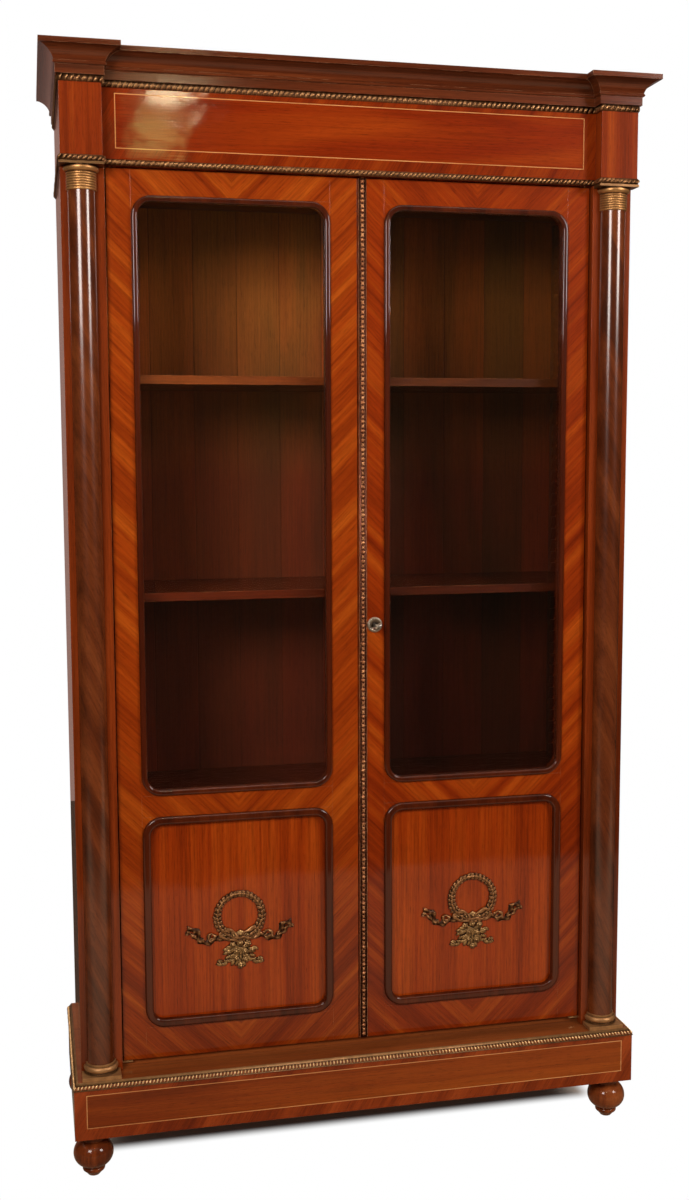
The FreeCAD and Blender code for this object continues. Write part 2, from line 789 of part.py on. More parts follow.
def wreath_mount(panel_front):
    """A wreath with a ribbon through it and a drop of flowers, as one chased mount."""
    x = opening_middle
    z = mount_height
    inner = wreath_radius - wreath_width_top
    wreath = level_pin(x, z, panel_front - wreath_thickness, panel_front, wreath_radius)
    wreath = wreath.cut(level_pin(x, z - 2, panel_front - wreath_thickness - 1, panel_front + 1, inner - 2))
    centre = z - ribbon_drop + ribbon_width / 2
    ribbon = None
    for turn in (-1, 1):
        near = x + turn * ribbon_half_span * 0.45
        far = x + turn * ribbon_half_span * 0.72
        end = x + turn * ribbon_half_span
        points = [
            (x, centre - ribbon_width / 2),
            (near, centre, far, centre - ribbon_dip),
            (end - turn * ribbon_tip_width, centre, end, centre + ribbon_rise),
            (end, centre + ribbon_rise + ribbon_width),
            (end - turn * ribbon_curl_width, centre + ribbon_width / 2, far, centre - ribbon_dip + ribbon_width),
            (near, centre + ribbon_width, x, centre + ribbon_width / 2),
        ]
        face = face_from(points, lambda a, b: Vector(a, panel_front - ribbon_thickness, b))
        half = face.extrude(Vector(0, ribbon_thickness, 0))
        ribbon = half if ribbon is None else ribbon.fuse(half)
    top = centre - ribbon_width / 2 + 1
    low = top - flower_height
    points = [
        (x - flower_half_width * 0.5, top),
        (x - flower_half_width, top - flower_height * 0.55, x - flower_half_width * 0.75, low + flower_shoulder),
        (x - flower_bud_radius, low + flower_bud_radius),
        (x, low, x + flower_bud_radius, low + flower_bud_radius),
        (x + flower_half_width * 0.75, low + flower_shoulder),
        (x + flower_half_width, top - flower_height * 0.55, x + flower_half_width * 0.5, top),
    ]
    face = face_from(points, lambda a, b: Vector(a, panel_front - flower_thickness, b))
    flowers = face.extrude(Vector(0, flower_thickness, 0))
    return wreath.fuse(ribbon).fuse(flowers).removeSplitter()


def meeting_stile():
    """The stile on the meeting side of the right door, before any hardware is let in."""
    return box(door_inner, opening_inner, door_face, door_back, door_bottom, door_top)


def lock_box():
    """Corners of the lock case as (x0, x1, y0, y1, z0, z1)."""
    x0 = door_inner + lock_edge_distance
    y1 = door_back + lock_wall / 2
    return (x0, x0 + lock_width, y1 - lock_depth, y1, key_height - lock_height / 2, key_height + lock_height / 2)


def lock_bolt_box(gap):
    """The lock bolt at rest, grown by a gap on its four long sides."""
    x0, x1, y0, y1, z0, z1 = lock_box()
    middle = (y0 + y1) / 2
    low = key_height + bolt_above_key
    return (door_inner + bolt_tip_setback, x1 - lock_wall - fit_gap,
            middle - bolt_thickness / 2 - gap, middle + bolt_thickness / 2 + gap, low - gap, low + bolt_height + gap)


def left_door_stile():
    """The left door's meeting stile, with the mortise for the lock bolt."""
    x0, x1, y0, y1, z0, z1 = lock_bolt_box(bolt_slot_gap)
    mortise = box(0, door_inner + bolt_throw + bolt_slot_gap, y0, y1, z0, z1)
    export("left_door_meeting_stile", mirrored(meeting_stile().cut(mortise)))


def right_door_stile():
    """The right door's meeting stile with its lock, key, rosette and brass strip."""
    case = lock_box()
    stile = meeting_stile().cut(box(*case))
    x0, x1, y0, y1, z0, z1 = lock_bolt_box(bolt_slot_gap)
    stile = stile.cut(box(door_inner - 1, case[0], y0, y1, z0, z1))
    key_x = door_inner + key_edge_distance
    stile = stile.cut(keyhole(key_x, door_face - 1, case[2] + 1))
    export("right_door_meeting_stile", stile)
    strip_x = door_inner + meeting_strip_inset
    strip = box(strip_x, strip_x + meeting_strip_width, door_face - meeting_strip_thickness, door_face,
                door_bottom, door_top)
    long_edges = [edge for edge in strip.Edges
                  if edge.Length > door_thickness * 2 and edge.BoundBox.YMax < door_face - 1e-4]
    export("meeting_strip", strip.makeFillet(meeting_strip_thickness * 0.45, long_edges))
    lock(key_x)
    key(key_x)
    rosette(key_x)


def lock(key_x):
    """The lock case let into the back of the stile, and its bolt with a notch for the key's bit."""
    x0, x1, y0, y1, z0, z1 = lock_box()
    case = box(x0, x1, y0, y1, z0, z1)
    case = case.cut(box(x0 + lock_wall, x1 - lock_wall, y0 + lock_wall, y1 - lock_wall,
                        z0 + lock_wall, z1 - lock_wall))
    bolt_space = lock_bolt_box(bolt_slot_gap)
    case = case.cut(box(x0 - 1, x0 + lock_wall + 1, *bolt_space[2:]))
    key_way = keyhole(key_x, y0 - 1, y0 + lock_wall + 1)
    key_way = key_way.cut(box(x0, x1, y0 - 2, y1, key_height, z1))
    key_way = key_way.fuse(level_pin(key_x, key_height, y0 - 1, y0 + lock_wall + 1,
                                     key_shank_radius + key_clearance))
    export("lock_case", case.cut(key_way))
    bolt = box(*lock_bolt_box(0))
    notch_x = key_x + bolt_throw / 2
    low = key_height + bolt_above_key
    notch_top = key_height + key_bit_reach + key_bit_clearance
    bolt = bolt.cut(box(notch_x - bolt_notch_half_width, notch_x + bolt_notch_half_width,
                        y0, y1, low - 1, notch_top))
    export("lock_bolt", bolt)


def keyhole(key_x, y0, y1):
    """A round hole for the key's shank with a slot below it for the bit."""
    slot = box(key_x - keyhole_slot_width / 2, key_x + keyhole_slot_width / 2, y0, y1,
               key_height - key_bit_reach - key_bit_clearance, key_height)
    return level_pin(key_x, key_height, y0, y1, keyhole_radius).fuse(slot)


def key(key_x):
    """The key: a round shank with a flat bow in front and a bit inside the lock."""
    x0, x1, y0, y1, z0, z1 = lock_box()
    middle = (y0 + y1) / 2
    tip = y1 - lock_wall - fit_gap
    shank_start = door_face - key_projection + 2 * key_bow_radius - 2
    shank = level_pin(key_x, key_height, shank_start, tip, key_shank_radius)
    bow_y = door_face - key_projection + key_bow_radius
    bow = Part.makeCylinder(key_bow_radius, key_bow_thickness,
                            Vector(key_x, bow_y, key_height - key_bow_thickness / 2))
    eye = Part.makeCylinder(key_bow_hole_radius, key_bow_thickness + 2,
                            Vector(key_x, bow_y, key_height - key_bow_thickness / 2 - 1))
    bit = box(key_x, key_x + key_bit_reach, middle - key_bit_width / 2, middle + key_bit_width / 2,
              key_height - key_bit_thickness / 2, key_height + key_bit_thickness / 2)
    whole = shank.fuse(bow.cut(eye)).fuse(bit).removeSplitter()
    whole.rotate(Vector(key_x, 0, key_height), Vector(0, -1, 0), key_rest_angle)
    export("key", whole)


def rosette(key_x):
    """The dished brass rosette round the keyhole."""
    outer = level_pin(key_x, key_height, door_face - rosette_thickness, door_face, rosette_radius)
    front_edge = [edge for edge in outer.Edges if on_plane(edge, door_face - rosette_thickness)]
    outer = outer.makeFillet(rosette_thickness * 0.6, front_edge)
    dish = Part.makeCone(rosette_radius * 0.72, keyhole_radius, rosette_thickness * 0.7,
                         Vector(key_x, door_face - rosette_thickness, key_height), Vector(0, 1, 0))
    hole = keyhole(key_x, door_face - rosette_thickness - 1, door_face + 1)
    export("key_rosette", outer.cut(dish).cut(hole))


def slide_bolts():
    """Two slide bolts behind the left door: one shoots up into the top board, one down."""
    x = slide_bolt_x()
    y = slide_bolt_y()
    cases = []
    for name, level, turn in (("upper_door_bolt", top_board_low, -1), ("lower_door_bolt", bottom_board_top, 1)):
        tip = level + turn * slide_bolt_clearance
        tail = tip + turn * slide_bolt_length
        case_near = tip + turn * (slide_bolt_travel + 6)
        case_far = case_near + turn * slide_case_length
        plate = box(x - slide_case_width / 2, x + slide_case_width / 2, door_back, door_back + slide_case_plate,
                    case_near, case_far)
        for start in (case_near, case_far - turn * slide_guide_height):
            guide = box(x - slide_guide_width / 2, x + slide_guide_width / 2,
                        door_back + slide_case_plate / 2, door_back + slide_guide_depth,
                        start, start + turn * slide_guide_height)
            plate = plate.fuse(guide)
        bore = drilled(x, y, case_near - turn, case_far + turn, slide_bolt_radius + slide_bore_gap)
        cases.append(plate.removeSplitter().cut(bore))
        middle = (case_near + case_far) / 2
        rod = drilled(x, y, tip, tail, slide_bolt_radius)
        knob = level_pin(x, middle, y, y + slide_knob_length, slide_knob_radius)
        export(name, rod.fuse(knob).removeSplitter())
    export("left_door_bolt_cases", *cases)


def case_pivots():
    """Four plates with pins in the case: two in the sill and two under the frieze."""
    lower = case_pivot(plinth_top + sill_height, 1)
    upper = case_pivot(frieze_bottom, -1)
    export("door_pivot_plates", lower, upper, mirrored(lower), mirrored(upper))


os.makedirs("parts", exist_ok=True)
plinth()
feet()
carcass()
frieze()
cornice()
columns()
shelves()
case_pivots()
door("right", lambda piece: piece)
door("left", mirrored)
left_door_stile()
right_door_stile()
slide_bolts()
print("overall height", overall_height, "shelves", shelf_levels())
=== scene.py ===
"""The look of a bookcase in French-polished veneer with half columns, glazed doors and brass mounts."""

import math

import bmesh
import bpy
from mathutils import Matrix, Vector


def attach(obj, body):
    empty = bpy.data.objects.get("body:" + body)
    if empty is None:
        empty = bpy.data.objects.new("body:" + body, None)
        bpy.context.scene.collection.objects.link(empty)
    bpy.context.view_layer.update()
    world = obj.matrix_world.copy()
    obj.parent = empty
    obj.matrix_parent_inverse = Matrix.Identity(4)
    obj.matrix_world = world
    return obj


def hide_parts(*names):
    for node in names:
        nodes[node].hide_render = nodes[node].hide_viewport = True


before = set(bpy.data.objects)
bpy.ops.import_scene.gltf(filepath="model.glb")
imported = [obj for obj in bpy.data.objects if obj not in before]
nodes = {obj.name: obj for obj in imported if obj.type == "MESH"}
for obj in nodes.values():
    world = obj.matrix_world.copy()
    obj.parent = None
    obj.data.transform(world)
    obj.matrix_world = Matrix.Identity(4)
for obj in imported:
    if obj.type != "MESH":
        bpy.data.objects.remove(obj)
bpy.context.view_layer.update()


# The camera stands a little left of the middle, at eye height, and looks slightly down.
# Its lens covers the case's whole height.
def new_object(name, data):
    """An object for a camera, a lamp or a mesh, in the scene."""
    thing = bpy.data.objects.new(name, data)
    bpy.context.scene.collection.objects.link(thing)
    return thing


camera_place = Matrix.Translation((-0.6587, -2.909, 1.471))
camera_turn = Matrix.Rotation(math.radians(-12.836), 4, "Z")
camera_tilt = Matrix.Rotation(math.radians(90 - 5.973), 4, "X")
camera_roll = Matrix.Rotation(math.radians(-0.188), 4, "Z")
camera = new_object("camera", bpy.data.cameras.new("camera"))
camera.data.lens = 41.27
camera.data.sensor_width = 36.0
camera.matrix_world = camera_place @ camera_turn @ camera_tilt @ camera_roll
bpy.context.scene.camera = camera
bpy.context.scene.view_settings.view_transform = "Standard"


# Studio light: two soft boxes, left and right of the camera, two small lamps above it, and a long strip
# overhead. Lamps behind light the back without being mirrored, and a pale studio fills the shadows.
def soft_box(name, place, aim, width, height, power, colour=(1, 0.9, 0.84)):
    """A rectangular lamp at place that faces aim."""
    lamp = bpy.data.lights.new(name, "AREA")
    lamp.shape = "RECTANGLE"
    lamp.size = width
    lamp.size_y = height
    lamp.energy = power
    lamp.color = colour
    holder = new_object(name, lamp)
    holder.location = place
    holder.rotation_euler = (Vector(aim) - Vector(place)).to_track_quat("-Z", "Y").to_euler()
    return holder


case_middle = (0.0, 0.0, 1.25)
doors_top = (0.0, 0.0, 1.7)
frieze_left = (-0.38, -0.15, 2.1)
soft_box("left_soft_box", (-2.1, -3.1, 2.6), doors_top, 1.25, 1.1, 106)
soft_box("right_soft_box", (2.76, -3.0, 2.7), doors_top, 1.25, 1.1, 112)
soft_box("upper_lamp", (-0.14, -3.0, 2.74), frieze_left, 0.17, 0.13, 0.75, (1, 0.88, 0.25))
soft_box("bar_lamp", (-0.07, -3.0, 2.893), frieze_left, 0.17, 0.024, 2.2, (1, 0.86, 0.5))
soft_box("overhead_strip", (0.1, -1.3, 3.6), (0.1, -0.2, 1.2), 1.7, 0.12, 8)
for name, x in (("left_back_lamp", -2.6), ("right_back_lamp", 2.6)):
    back_lamp = soft_box(name, (x, 3.0, 2.5), case_middle, 1.2, 1.2, 60)
    back_lamp.visible_glossy = False


def fill(node, inputs):
    """Links sockets into a node's inputs, or sets them to plain values, by name or by number."""
    for name, value in inputs.items():
        if isinstance(value, bpy.types.NodeSocket):
            node.id_data.links.new(value, node.inputs[name])
        else:
            node.inputs[name].default_value = value


def new_node(tree, kind, inputs, **settings):
    """The outputs of a new node with the given inputs and settings."""
    node = tree.nodes.new(kind)
    for name, value in settings.items():
        setattr(node, name, value)
    fill(node, inputs)
    return node.outputs


def tree_of(values):
    """The node tree that holds the first socket among some values."""
    return next(value.id_data for value in values if isinstance(value, bpy.types.NodeSocket))


def calc(operation, *values):
    """One step of arithmetic on numbers and sockets."""
    tree = tree_of(values)
    return new_node(tree, "ShaderNodeMath", dict(enumerate(values)), operation=operation)[0]


def blended(amount, first, second, kind="MIX"):
    """Two colours mixed by amount."""
    inputs = {"Factor": amount, 6: first, 7: second}
    tree = tree_of(inputs.values())
    return new_node(tree, "ShaderNodeMix", inputs, data_type="RGBA", blend_type=kind)[2]


def eased(value, low, high):
    """0 below low and 1 above high, with a smooth change between."""
    inputs = {"Value": value, "From Min": low, "From Max": high}
    return new_node(value.id_data, "ShaderNodeMapRange", inputs, interpolation_type="SMOOTHSTEP")[0]


def point(tree, kind="Object"):
    """The coordinates of the shaded point, or another of its vectors."""
    return tree.nodes.new("ShaderNodeTexCoord").outputs[kind]


def point_parts(tree, kind="Object"):
    """The X, Y and Z of the shaded point."""
    return new_node(tree, "ShaderNodeSeparateXYZ", {0: point(tree, kind)})


white = (1, 1, 1, 1)
shadow_fill = (0.2, 0.19, 0.18, 1)
world = bpy.data.worlds.new("studio")
world.use_nodes = True
bpy.context.scene.world = world
air = world.node_tree
ray = air.nodes.new("ShaderNodeLightPath").outputs
bounced = calc("GREATER_THAN", ray["Diffuse Depth"], 0.5)
mirrored = calc("GREATER_THAN", ray["Glossy Depth"], 0.5)
towards = point_parts(air, "Generated")
behind = eased(towards[1], 0.6, 0.95)
walls = blended(behind, (0.042, 0.027, 0.016, 1), (0.3, 0.18, 0.15, 1))
mirror_view = blended(eased(towards[2], 0.6, 0.85), walls, (1.5, 1.25, 0.95, 1))
clear_view = calc("MAXIMUM", ray["Is Camera Ray"], ray["Is Transmission Ray"])
straight_view = blended(clear_view, shadow_fill, white)
view = blended(mirrored, straight_view, mirror_view)
fill(air.nodes["Background"], {"Color": blended(bounced, view, shadow_fill)})


# The floor is a sheet of white studio paper that ends 2 m in front of the case.
# It takes the case's shadow, and it fades into the white studio further out.
def new_material(name):
    """A node material, with its tree."""
    material = bpy.data.materials.new(name)
    material.use_nodes = True
    return material, material.node_tree


def paint(material, inputs):
    """Fills the inputs of a material's Principled shader."""
    fill(material.node_tree.nodes["Principled BSDF"], inputs)
    return material


def cover(material, amount, shader):
    """Lays another shader over a material's Principled one, by amount."""
    tree = material.node_tree
    below = tree.nodes["Principled BSDF"].outputs[0]
    both = new_node(tree, "ShaderNodeMixShader", {0: amount, 1: below, 2: shader})
    fill(tree.nodes["Material Output"], {"Surface": both[0]})


def toned(value, *stops):
    """A colour for a value, from (position, colour) stops."""
    ramp = value.id_data.nodes.new("ShaderNodeValToRGB")
    points = ramp.color_ramp.elements
    while len(points) < len(stops):
        points.new(0.5)
    for spot, (position, colour) in zip(points, stops):
        spot.position = position
        spot.color = (*colour, 1)
    fill(ramp, {0: value})
    return ramp.outputs["Color"]


def hypotenuse(first, second):
    """The straight distance that two distances at right angles make."""
    return calc("SQRT", calc("ADD", calc("POWER", first, 2.0), calc("POWER", second, 2.0)))


paper, tree = new_material("studio_paper")
x, y, z = point_parts(tree)
shadow_half_width = 0.54
shadow_half_depth = 0.04
shadow_fade = 0.045
beside = calc("MAXIMUM", calc("SUBTRACT", calc("ABSOLUTE", x), shadow_half_width), 0.0)
before = calc("MAXIMUM", calc("SUBTRACT", calc("ABSOLUTE", y), shadow_half_depth), 0.0)
past_shadow = eased(hypotenuse(beside, before), 0.0, shadow_fade)
ray = tree.nodes.new("ShaderNodeLightPath").outputs
seen_in_case = calc("MAXIMUM", ray["Is Glossy Ray"], ray["Is Transmission Ray"])
looked_at = calc("MAXIMUM", ray["Is Camera Ray"], seen_in_case)
# Seen in the case's polish, the paper glows as a painted reflection: warm and bright from about a metre in
# front outwards, dim near the case and dark behind it.
near_glow = (0.24, 0.17, 0.11)
paper_mirrored = toned(
    calc("MULTIPLY_ADD", y, 0.4, 0.5),
    (0.1, (0.85, 0.62, 0.4)),
    (0.36, near_glow),
    (0.54, near_glow),
    (0.62, (0.05, 0.035, 0.025)),
)
mirrored = calc("GREATER_THAN", ray["Glossy Depth"], 0.5)
glow = new_node(tree, "ShaderNodeEmission", {"Color": blended(mirrored, white, paper_mirrored)})
paint(paper, {"Base Color": (0.5, 0.45, 0.4, 1), "Roughness": 0.9, "Specular IOR Level": 0.0})
cover(paper, calc("MULTIPLY", looked_at, past_shadow), glow[0])
paper_mesh = bpy.data.meshes.new("floor")
paper_corners = [(-3.2, -2.02, 0), (3.2, -2.02, 0), (3.2, 3.0, 0), (-3.2, 3.0, 0)]
paper_mesh.from_pydata(paper_corners, [], [(0, 1, 2, 3)])
paper_mesh.materials.append(paper)
floor = new_object("floor", paper_mesh)


# The plinth is a box of boards, veneered and French polished. A pale line is let into its face, with the
# grain lengthwise inside it and at a slant in the border round it.
def noise(where, scale, detail=3.0, roughness=0.5, distortion=0.0):
    """Random values from 0 to 1 over a vector of coordinates."""
    look = {"Scale": scale, "Detail": detail, "Roughness": roughness, "Distortion": distortion}
    return new_node(where.id_data, "ShaderNodeTexNoise", {"Vector": where, **look})["Fac"]


def stretched(run, lengthwise, crosswise):
    """A vector from the three coordinates of the wood's fibres, scaled along and across them."""
    scales = (lengthwise, crosswise, crosswise)
    parts = [calc("MULTIPLY", part, scale) for part, scale in zip(run, scales)]
    return new_node(parts[0].id_data, "ShaderNodeCombineXYZ", dict(enumerate(parts)))[0]


def soft_edges(tree, radius):
    """The normal with arrises eased by radius, and how near to an arris the point is."""
    rounded = new_node(tree, "ShaderNodeBevel", {"Radius": radius}, samples=4)[0]
    plain = tree.nodes.new("ShaderNodeNewGeometry").outputs["Normal"]
    both = {0: rounded, 1: plain}
    likeness = new_node(tree, "ShaderNodeVectorMath", both, operation="DOT_PRODUCT")["Value"]
    return rounded, calc("SUBTRACT", 1.0, likeness)


def bumped(height, distance, normal=None):
    """A normal that follows height, in metres times distance."""
    inputs = {"Height": height, "Distance": distance}
    if normal is not None:
        inputs["Normal"] = normal
    return new_node(height.id_data, "ShaderNodeBump", inputs)[0]


def tinted(colour, shade, amount=1.0):
    """A colour multiplied by a shade, by amount."""
    return blended(amount, colour, shade, "MULTIPLY")


def along_x(tree):
    """Fibres that run from side to side."""
    x, y, z = point_parts(tree)
    return x, z, y


def along_y(tree):
    """Fibres that run from front to back."""
    x, y, z = point_parts(tree)
    return y, z, x


def upright(tree):
    """Fibres that run up and down."""
    x, y, z = point_parts(tree)
    return z, x, y


def slanting(first, second, cosine, sine):
    """Two coordinates turned in their plane, from the cosine and sine of the turn."""
    along = calc("MULTIPLY_ADD", first, cosine, calc("MULTIPLY", second, sine))
    across = calc("MULTIPLY_ADD", second, cosine, calc("MULTIPLY", first, -sine))
    return along, across


def wood_colour(run, dark, middle, light, figure=8.0, contrast=0.35):
    """The colour of a veneer with bands, streaks and pores, its streaks, and the relief of its grain."""
    bands = noise(stretched(run, 0.9, figure), 1.0, 3.0, 0.55, 0.7)
    streaks = noise(stretched(run, 6.0, 260.0), 1.0, 4.0, 0.62, 0.3)
    pores = noise(stretched(run, 45.0, 1300.0), 1.0, 2.0)
    colour = toned(bands, (0.29, dark), (0.5, middle), (0.72, light))
    grey = toned(streaks, (0.3, (0.35, 0.35, 0.35)), (0.55, (1, 1, 1)), (0.75, (1.25, 1.25, 1.25)))
    specks = toned(pores, (0.33, (0.3, 0.25, 0.22)), (0.42, (1, 1, 1)))
    colour = tinted(tinted(colour, grey, contrast), specks, 0.55)
    return colour, streaks, calc("MULTIPLY_ADD", pores, 0.6, streaks)


def finish_wood(
    material,
    colour,
    streaks,
    relief,
    edge=0.0011,
    rub=(0.42, 0.17, 0.06, 1),
    polish=0.065,
    waves=0.0006,
    gloss=1.32,
    ripple=9.0,
    grain=0.05,
):
    """French polish over a wood colour: a clear film, slightly wavy, and rubbed thin at the arrises."""
    tree = material.node_tree
    eased_normal, arris = soft_edges(tree, edge)
    where = point(tree)
    patchy = noise(where, 34.0, 3.0, 0.6)
    rubbed = calc("MULTIPLY", eased(arris, 0.02, 0.16), eased(patchy, 0.42, 0.62))
    colour = blended(calc("MULTIPLY", rubbed, 0.55), colour, rub)
    clouds = noise(where, 2.6, 3.0, 0.55, 0.4)
    shade = toned(clouds, (0.3, (0.8, 0.72, 0.68)), (0.52, (1, 1, 1)), (0.72, (1.08, 1.14, 1.2)))
    film = calc("MULTIPLY_ADD", streaks, grain, noise(where, ripple, 1.0, 0.4))
    return paint(material, {
        "Base Color": tinted(colour, shade, 0.8),
        "Roughness": calc("MULTIPLY_ADD", streaks, 0.25, 0.28),
        "Normal": bumped(relief, 0.00025, eased_normal),
        "Specular IOR Level": 0.03,
        "Coat Weight": 1.0,
        "Coat Normal": bumped(film, waves, eased_normal),
        "Coat Roughness": polish,
        "Coat IOR": gloss,
    })


def polished(name, run, *tones, figure=8.0, contrast=0.35, **options):
    """A French-polished wood whose fibres run one way."""
    material, tree = new_material(name)
    return finish_wood(material, *wood_colour(run(tree), *tones, figure, contrast), **options)


def wear(material, *names):
    """Gives CAD nodes a material."""
    for name in names:
        for slot in nodes[name].material_slots:
            slot.material = material


def away_from(value, centre):
    """How far a coordinate is from a centre."""
    return calc("ABSOLUTE", calc("SUBTRACT", value, centre))


def inlaid(name, half_width, low, high, inner, border, **options):
    """A horizontal veneer with a pale stringing line and a border whose grain runs at a slant."""
    material, tree = new_material(name)
    x, y, z = point_parts(tree)
    inner_colour, streaks, relief = wood_colour((x, z, y), *inner, 11.0)
    border_run = (*slanting(z, x, 0.87, 0.5), y)
    border_colour = wood_colour(border_run, *border, 22.0)[0]
    past_side = calc("SUBTRACT", calc("ABSOLUTE", x), half_width)
    past_edge = calc("SUBTRACT", away_from(z, (low + high) / 2), (high - low) / 2)
    distance = calc("MAXIMUM", past_side, past_edge)
    colour = blended(calc("GREATER_THAN", distance, 0.0), inner_colour, border_colour)
    wander = calc("MULTIPLY", calc("SUBTRACT", noise(point(tree), 30.0), 0.5), 0.0004)
    near_line = calc("ABSOLUTE", calc("ADD", distance, wander))
    on_line = calc("SUBTRACT", 1.0, eased(near_line, 0.0006, 0.0011))
    boxwood = toned(streaks, (0.3, (0.42, 0.17, 0.055)), (0.7, (0.62, 0.3, 0.1)))
    colour = blended(calc("MULTIPLY", on_line, 0.85), colour, boxwood)
    return finish_wood(material, colour, streaks, relief, **options)


plinth_tones = ((0.08, 0.011, 0.0013), (0.175, 0.027, 0.0024), (0.26, 0.052, 0.005))
border_tones = ((0.115, 0.013, 0.0016), (0.19, 0.026, 0.003), (0.26, 0.042, 0.006))
wear(inlaid("inlaid_plinth_veneer", 0.579, 0.1204, 0.1889, plinth_tones, border_tones), "plinth_front_board")
wear(polished("plinth_side_veneer", along_y, *plinth_tones), "plinth_side_boards")
plinth_top_tones = ((0.15, 0.038, 0.009), (0.25, 0.066, 0.015), (0.32, 0.094, 0.024))
top_wood = polished("plinth_top_veneer", along_x, *plinth_top_tones, polish=0.12)
wear(top_wood, "plinth_top_board", "bottom_board")


# Four turned bun feet of solid wood, each a squashed ball over a ring and a short tapered tip, dowelled up
# into the corner blocks. The polish is dark and glossy.
foot_tones = ((0.07, 0.013, 0.003), (0.155, 0.032, 0.007), (0.22, 0.054, 0.012))
wear(polished("polished_foot_wood", upright, *foot_tones, figure=30.0, rub=(0.25, 0.1, 0.045, 1)), "bun_feet")


# A strip of stamped brass is pinned along the plinth's sloping edge: a plain band above a row of leaf tips.
# It runs along the front and back along both sides, mitred at the corners.
def brass(name, deep, middle, bright, roughness=0.38, depth=0.005, metal=0.8, bed=None, rise=0.004):
    """Old lacquered brass: brown in the hollows and rubbed bright on the raised parts.

    Bed is the Y of the face under a front ornament, which stands out from it by rise.
    """
    material, tree = new_material(name)
    where = point(tree)
    eased_normal, arris = soft_edges(tree, 0.0006)
    reach = {"Distance": depth}
    shelter = new_node(tree, "ShaderNodeAmbientOcclusion", reach, samples=6, only_local=True)["AO"]
    tarnish = noise(where, 70.0, 4.0, 0.6)
    openness = calc("MULTIPLY_ADD", tarnish, 0.45, calc("MULTIPLY_ADD", shelter, 0.9, -0.3))
    if bed is not None:
        out = calc("DIVIDE", calc("SUBTRACT", bed, point_parts(tree)[1]), rise)
        openness = calc("MULTIPLY", openness, calc("MULTIPLY_ADD", eased(out, 0.1, 0.9), 0.5, 0.5))
    colour = toned(openness, (0.48, deep), (0.68, middle), (0.88, bright))
    rubbed = calc("MULTIPLY", eased(arris, 0.03, 0.25), 0.6)
    return paint(material, {
        "Base Color": blended(rubbed, colour, (*bright, 1)),
        "Roughness": calc("MULTIPLY_ADD", tarnish, -0.2, roughness + 0.1),
        "Normal": bumped(noise(where, 900.0, 2.0), 0.0001, eased_normal),
        "Metallic": metal,
    })


def made(name, vertices, faces, material=None):
    """A smooth mesh from its points and faces, with its faces turned outwards."""
    mesh = bpy.data.meshes.new(name)
    mesh.from_pydata(vertices, [], faces)
    shell = bmesh.new()
    shell.from_mesh(mesh)
    bmesh.ops.recalc_face_normals(shell, faces=shell.faces)
    for face in shell.faces:
        face.smooth = True
    shell.to_mesh(mesh)
    shell.free()
    if material is not None:
        mesh.materials.append(material)
    return new_object(name, mesh)


def joined(name, *pieces):
    """Several pieces, each with its own finish, as one mesh; the separate ones are removed."""
    shell = bmesh.new()
    finishes = []
    for piece in pieces:
        finish = piece.data.materials[0]
        if finish not in finishes:
            finishes.append(finish)
        known = len(shell.faces)
        shell.from_mesh(piece.data)
        shell.faces.ensure_lookup_table()
        for face in shell.faces[known:]:
            face.material_index = finishes.index(finish)
        bpy.data.objects.remove(piece)
    mesh = bpy.data.meshes.new(name)
    shell.to_mesh(mesh)
    shell.free()
    for finish in finishes:
        mesh.materials.append(finish)
    return new_object(name, mesh)


def leaf(length, width, rise, groove=0.45, material=None):
    """A pointed leaf along X that rises to +Z, with a groove down its rib and a closed underside."""
    steps = 6
    across = (-1.0, -0.5, 0.0, 0.5, 1.0)
    vertices = []
    for step in range(steps + 1):
        place = step / steps
        swell = math.sin(math.pi * (0.04 + 0.92 * place)) ** 0.75
        for share in across:
            height = rise * swell * (1 - share * share)
            if share == 0.0:
                height *= 1 - groove
            vertices.append(((place - 0.5) * length, share * swell * width / 2, height))
    count = len(across)
    faces = []
    for step in range(steps):
        for column in range(count - 1):
            corner = step * count + column
            faces.append((corner, corner + 1, corner + count + 1, corner + count))
    near = [step * count for step in range(steps + 1)]
    far = [step * count + count - 1 for step in range(steps + 1)]
    first = list(range(1, count - 1))
    last = [steps * count + column for column in range(1, count - 1)]
    faces.append(tuple(near + last + far[::-1] + first[::-1]))
    return made("leaf", vertices, faces, material)


def shaped(piece, *steps):
    """Turns or moves a small piece's own points."""
    for step in steps:
        piece.data.transform(step)
    return piece


def skin(rings, count, looped=False):
    """Faces over rings of count points each; a run of rings that isn't looped is closed at its ends."""
    total = rings * count
    faces = []
    for ring in range(rings if looped else rings - 1):
        for step in range(count):
            corner = ring * count + step
            after = ring * count + (step + 1) % count
            faces.append((corner, after, (after + count) % total, (corner + count) % total))
    if not looped:
        faces += [tuple(range(count)), tuple(range(total - count, total))]
    return faces


def swept(name, path, profile, material):
    """A profile of (outward, height) points along a level path of (x, y) points, mitred at its corners."""
    vertices = []
    for index, place in enumerate(path):
        here = Vector(place)
        runs = []
        if index > 0:
            runs.append((here - Vector(path[index - 1])).normalized())
        if index < len(path) - 1:
            runs.append((Vector(path[index + 1]) - here).normalized())
        sides = [Vector((run.y, -run.x)) for run in runs]
        mitre = (sides[0] + sides[-1]) / (1 + sides[0].dot(sides[-1]))
        for outward, height in profile:
            vertices.append((*(here + mitre * outward), height))
    return made(name, vertices, skin(len(path), len(profile)), material)


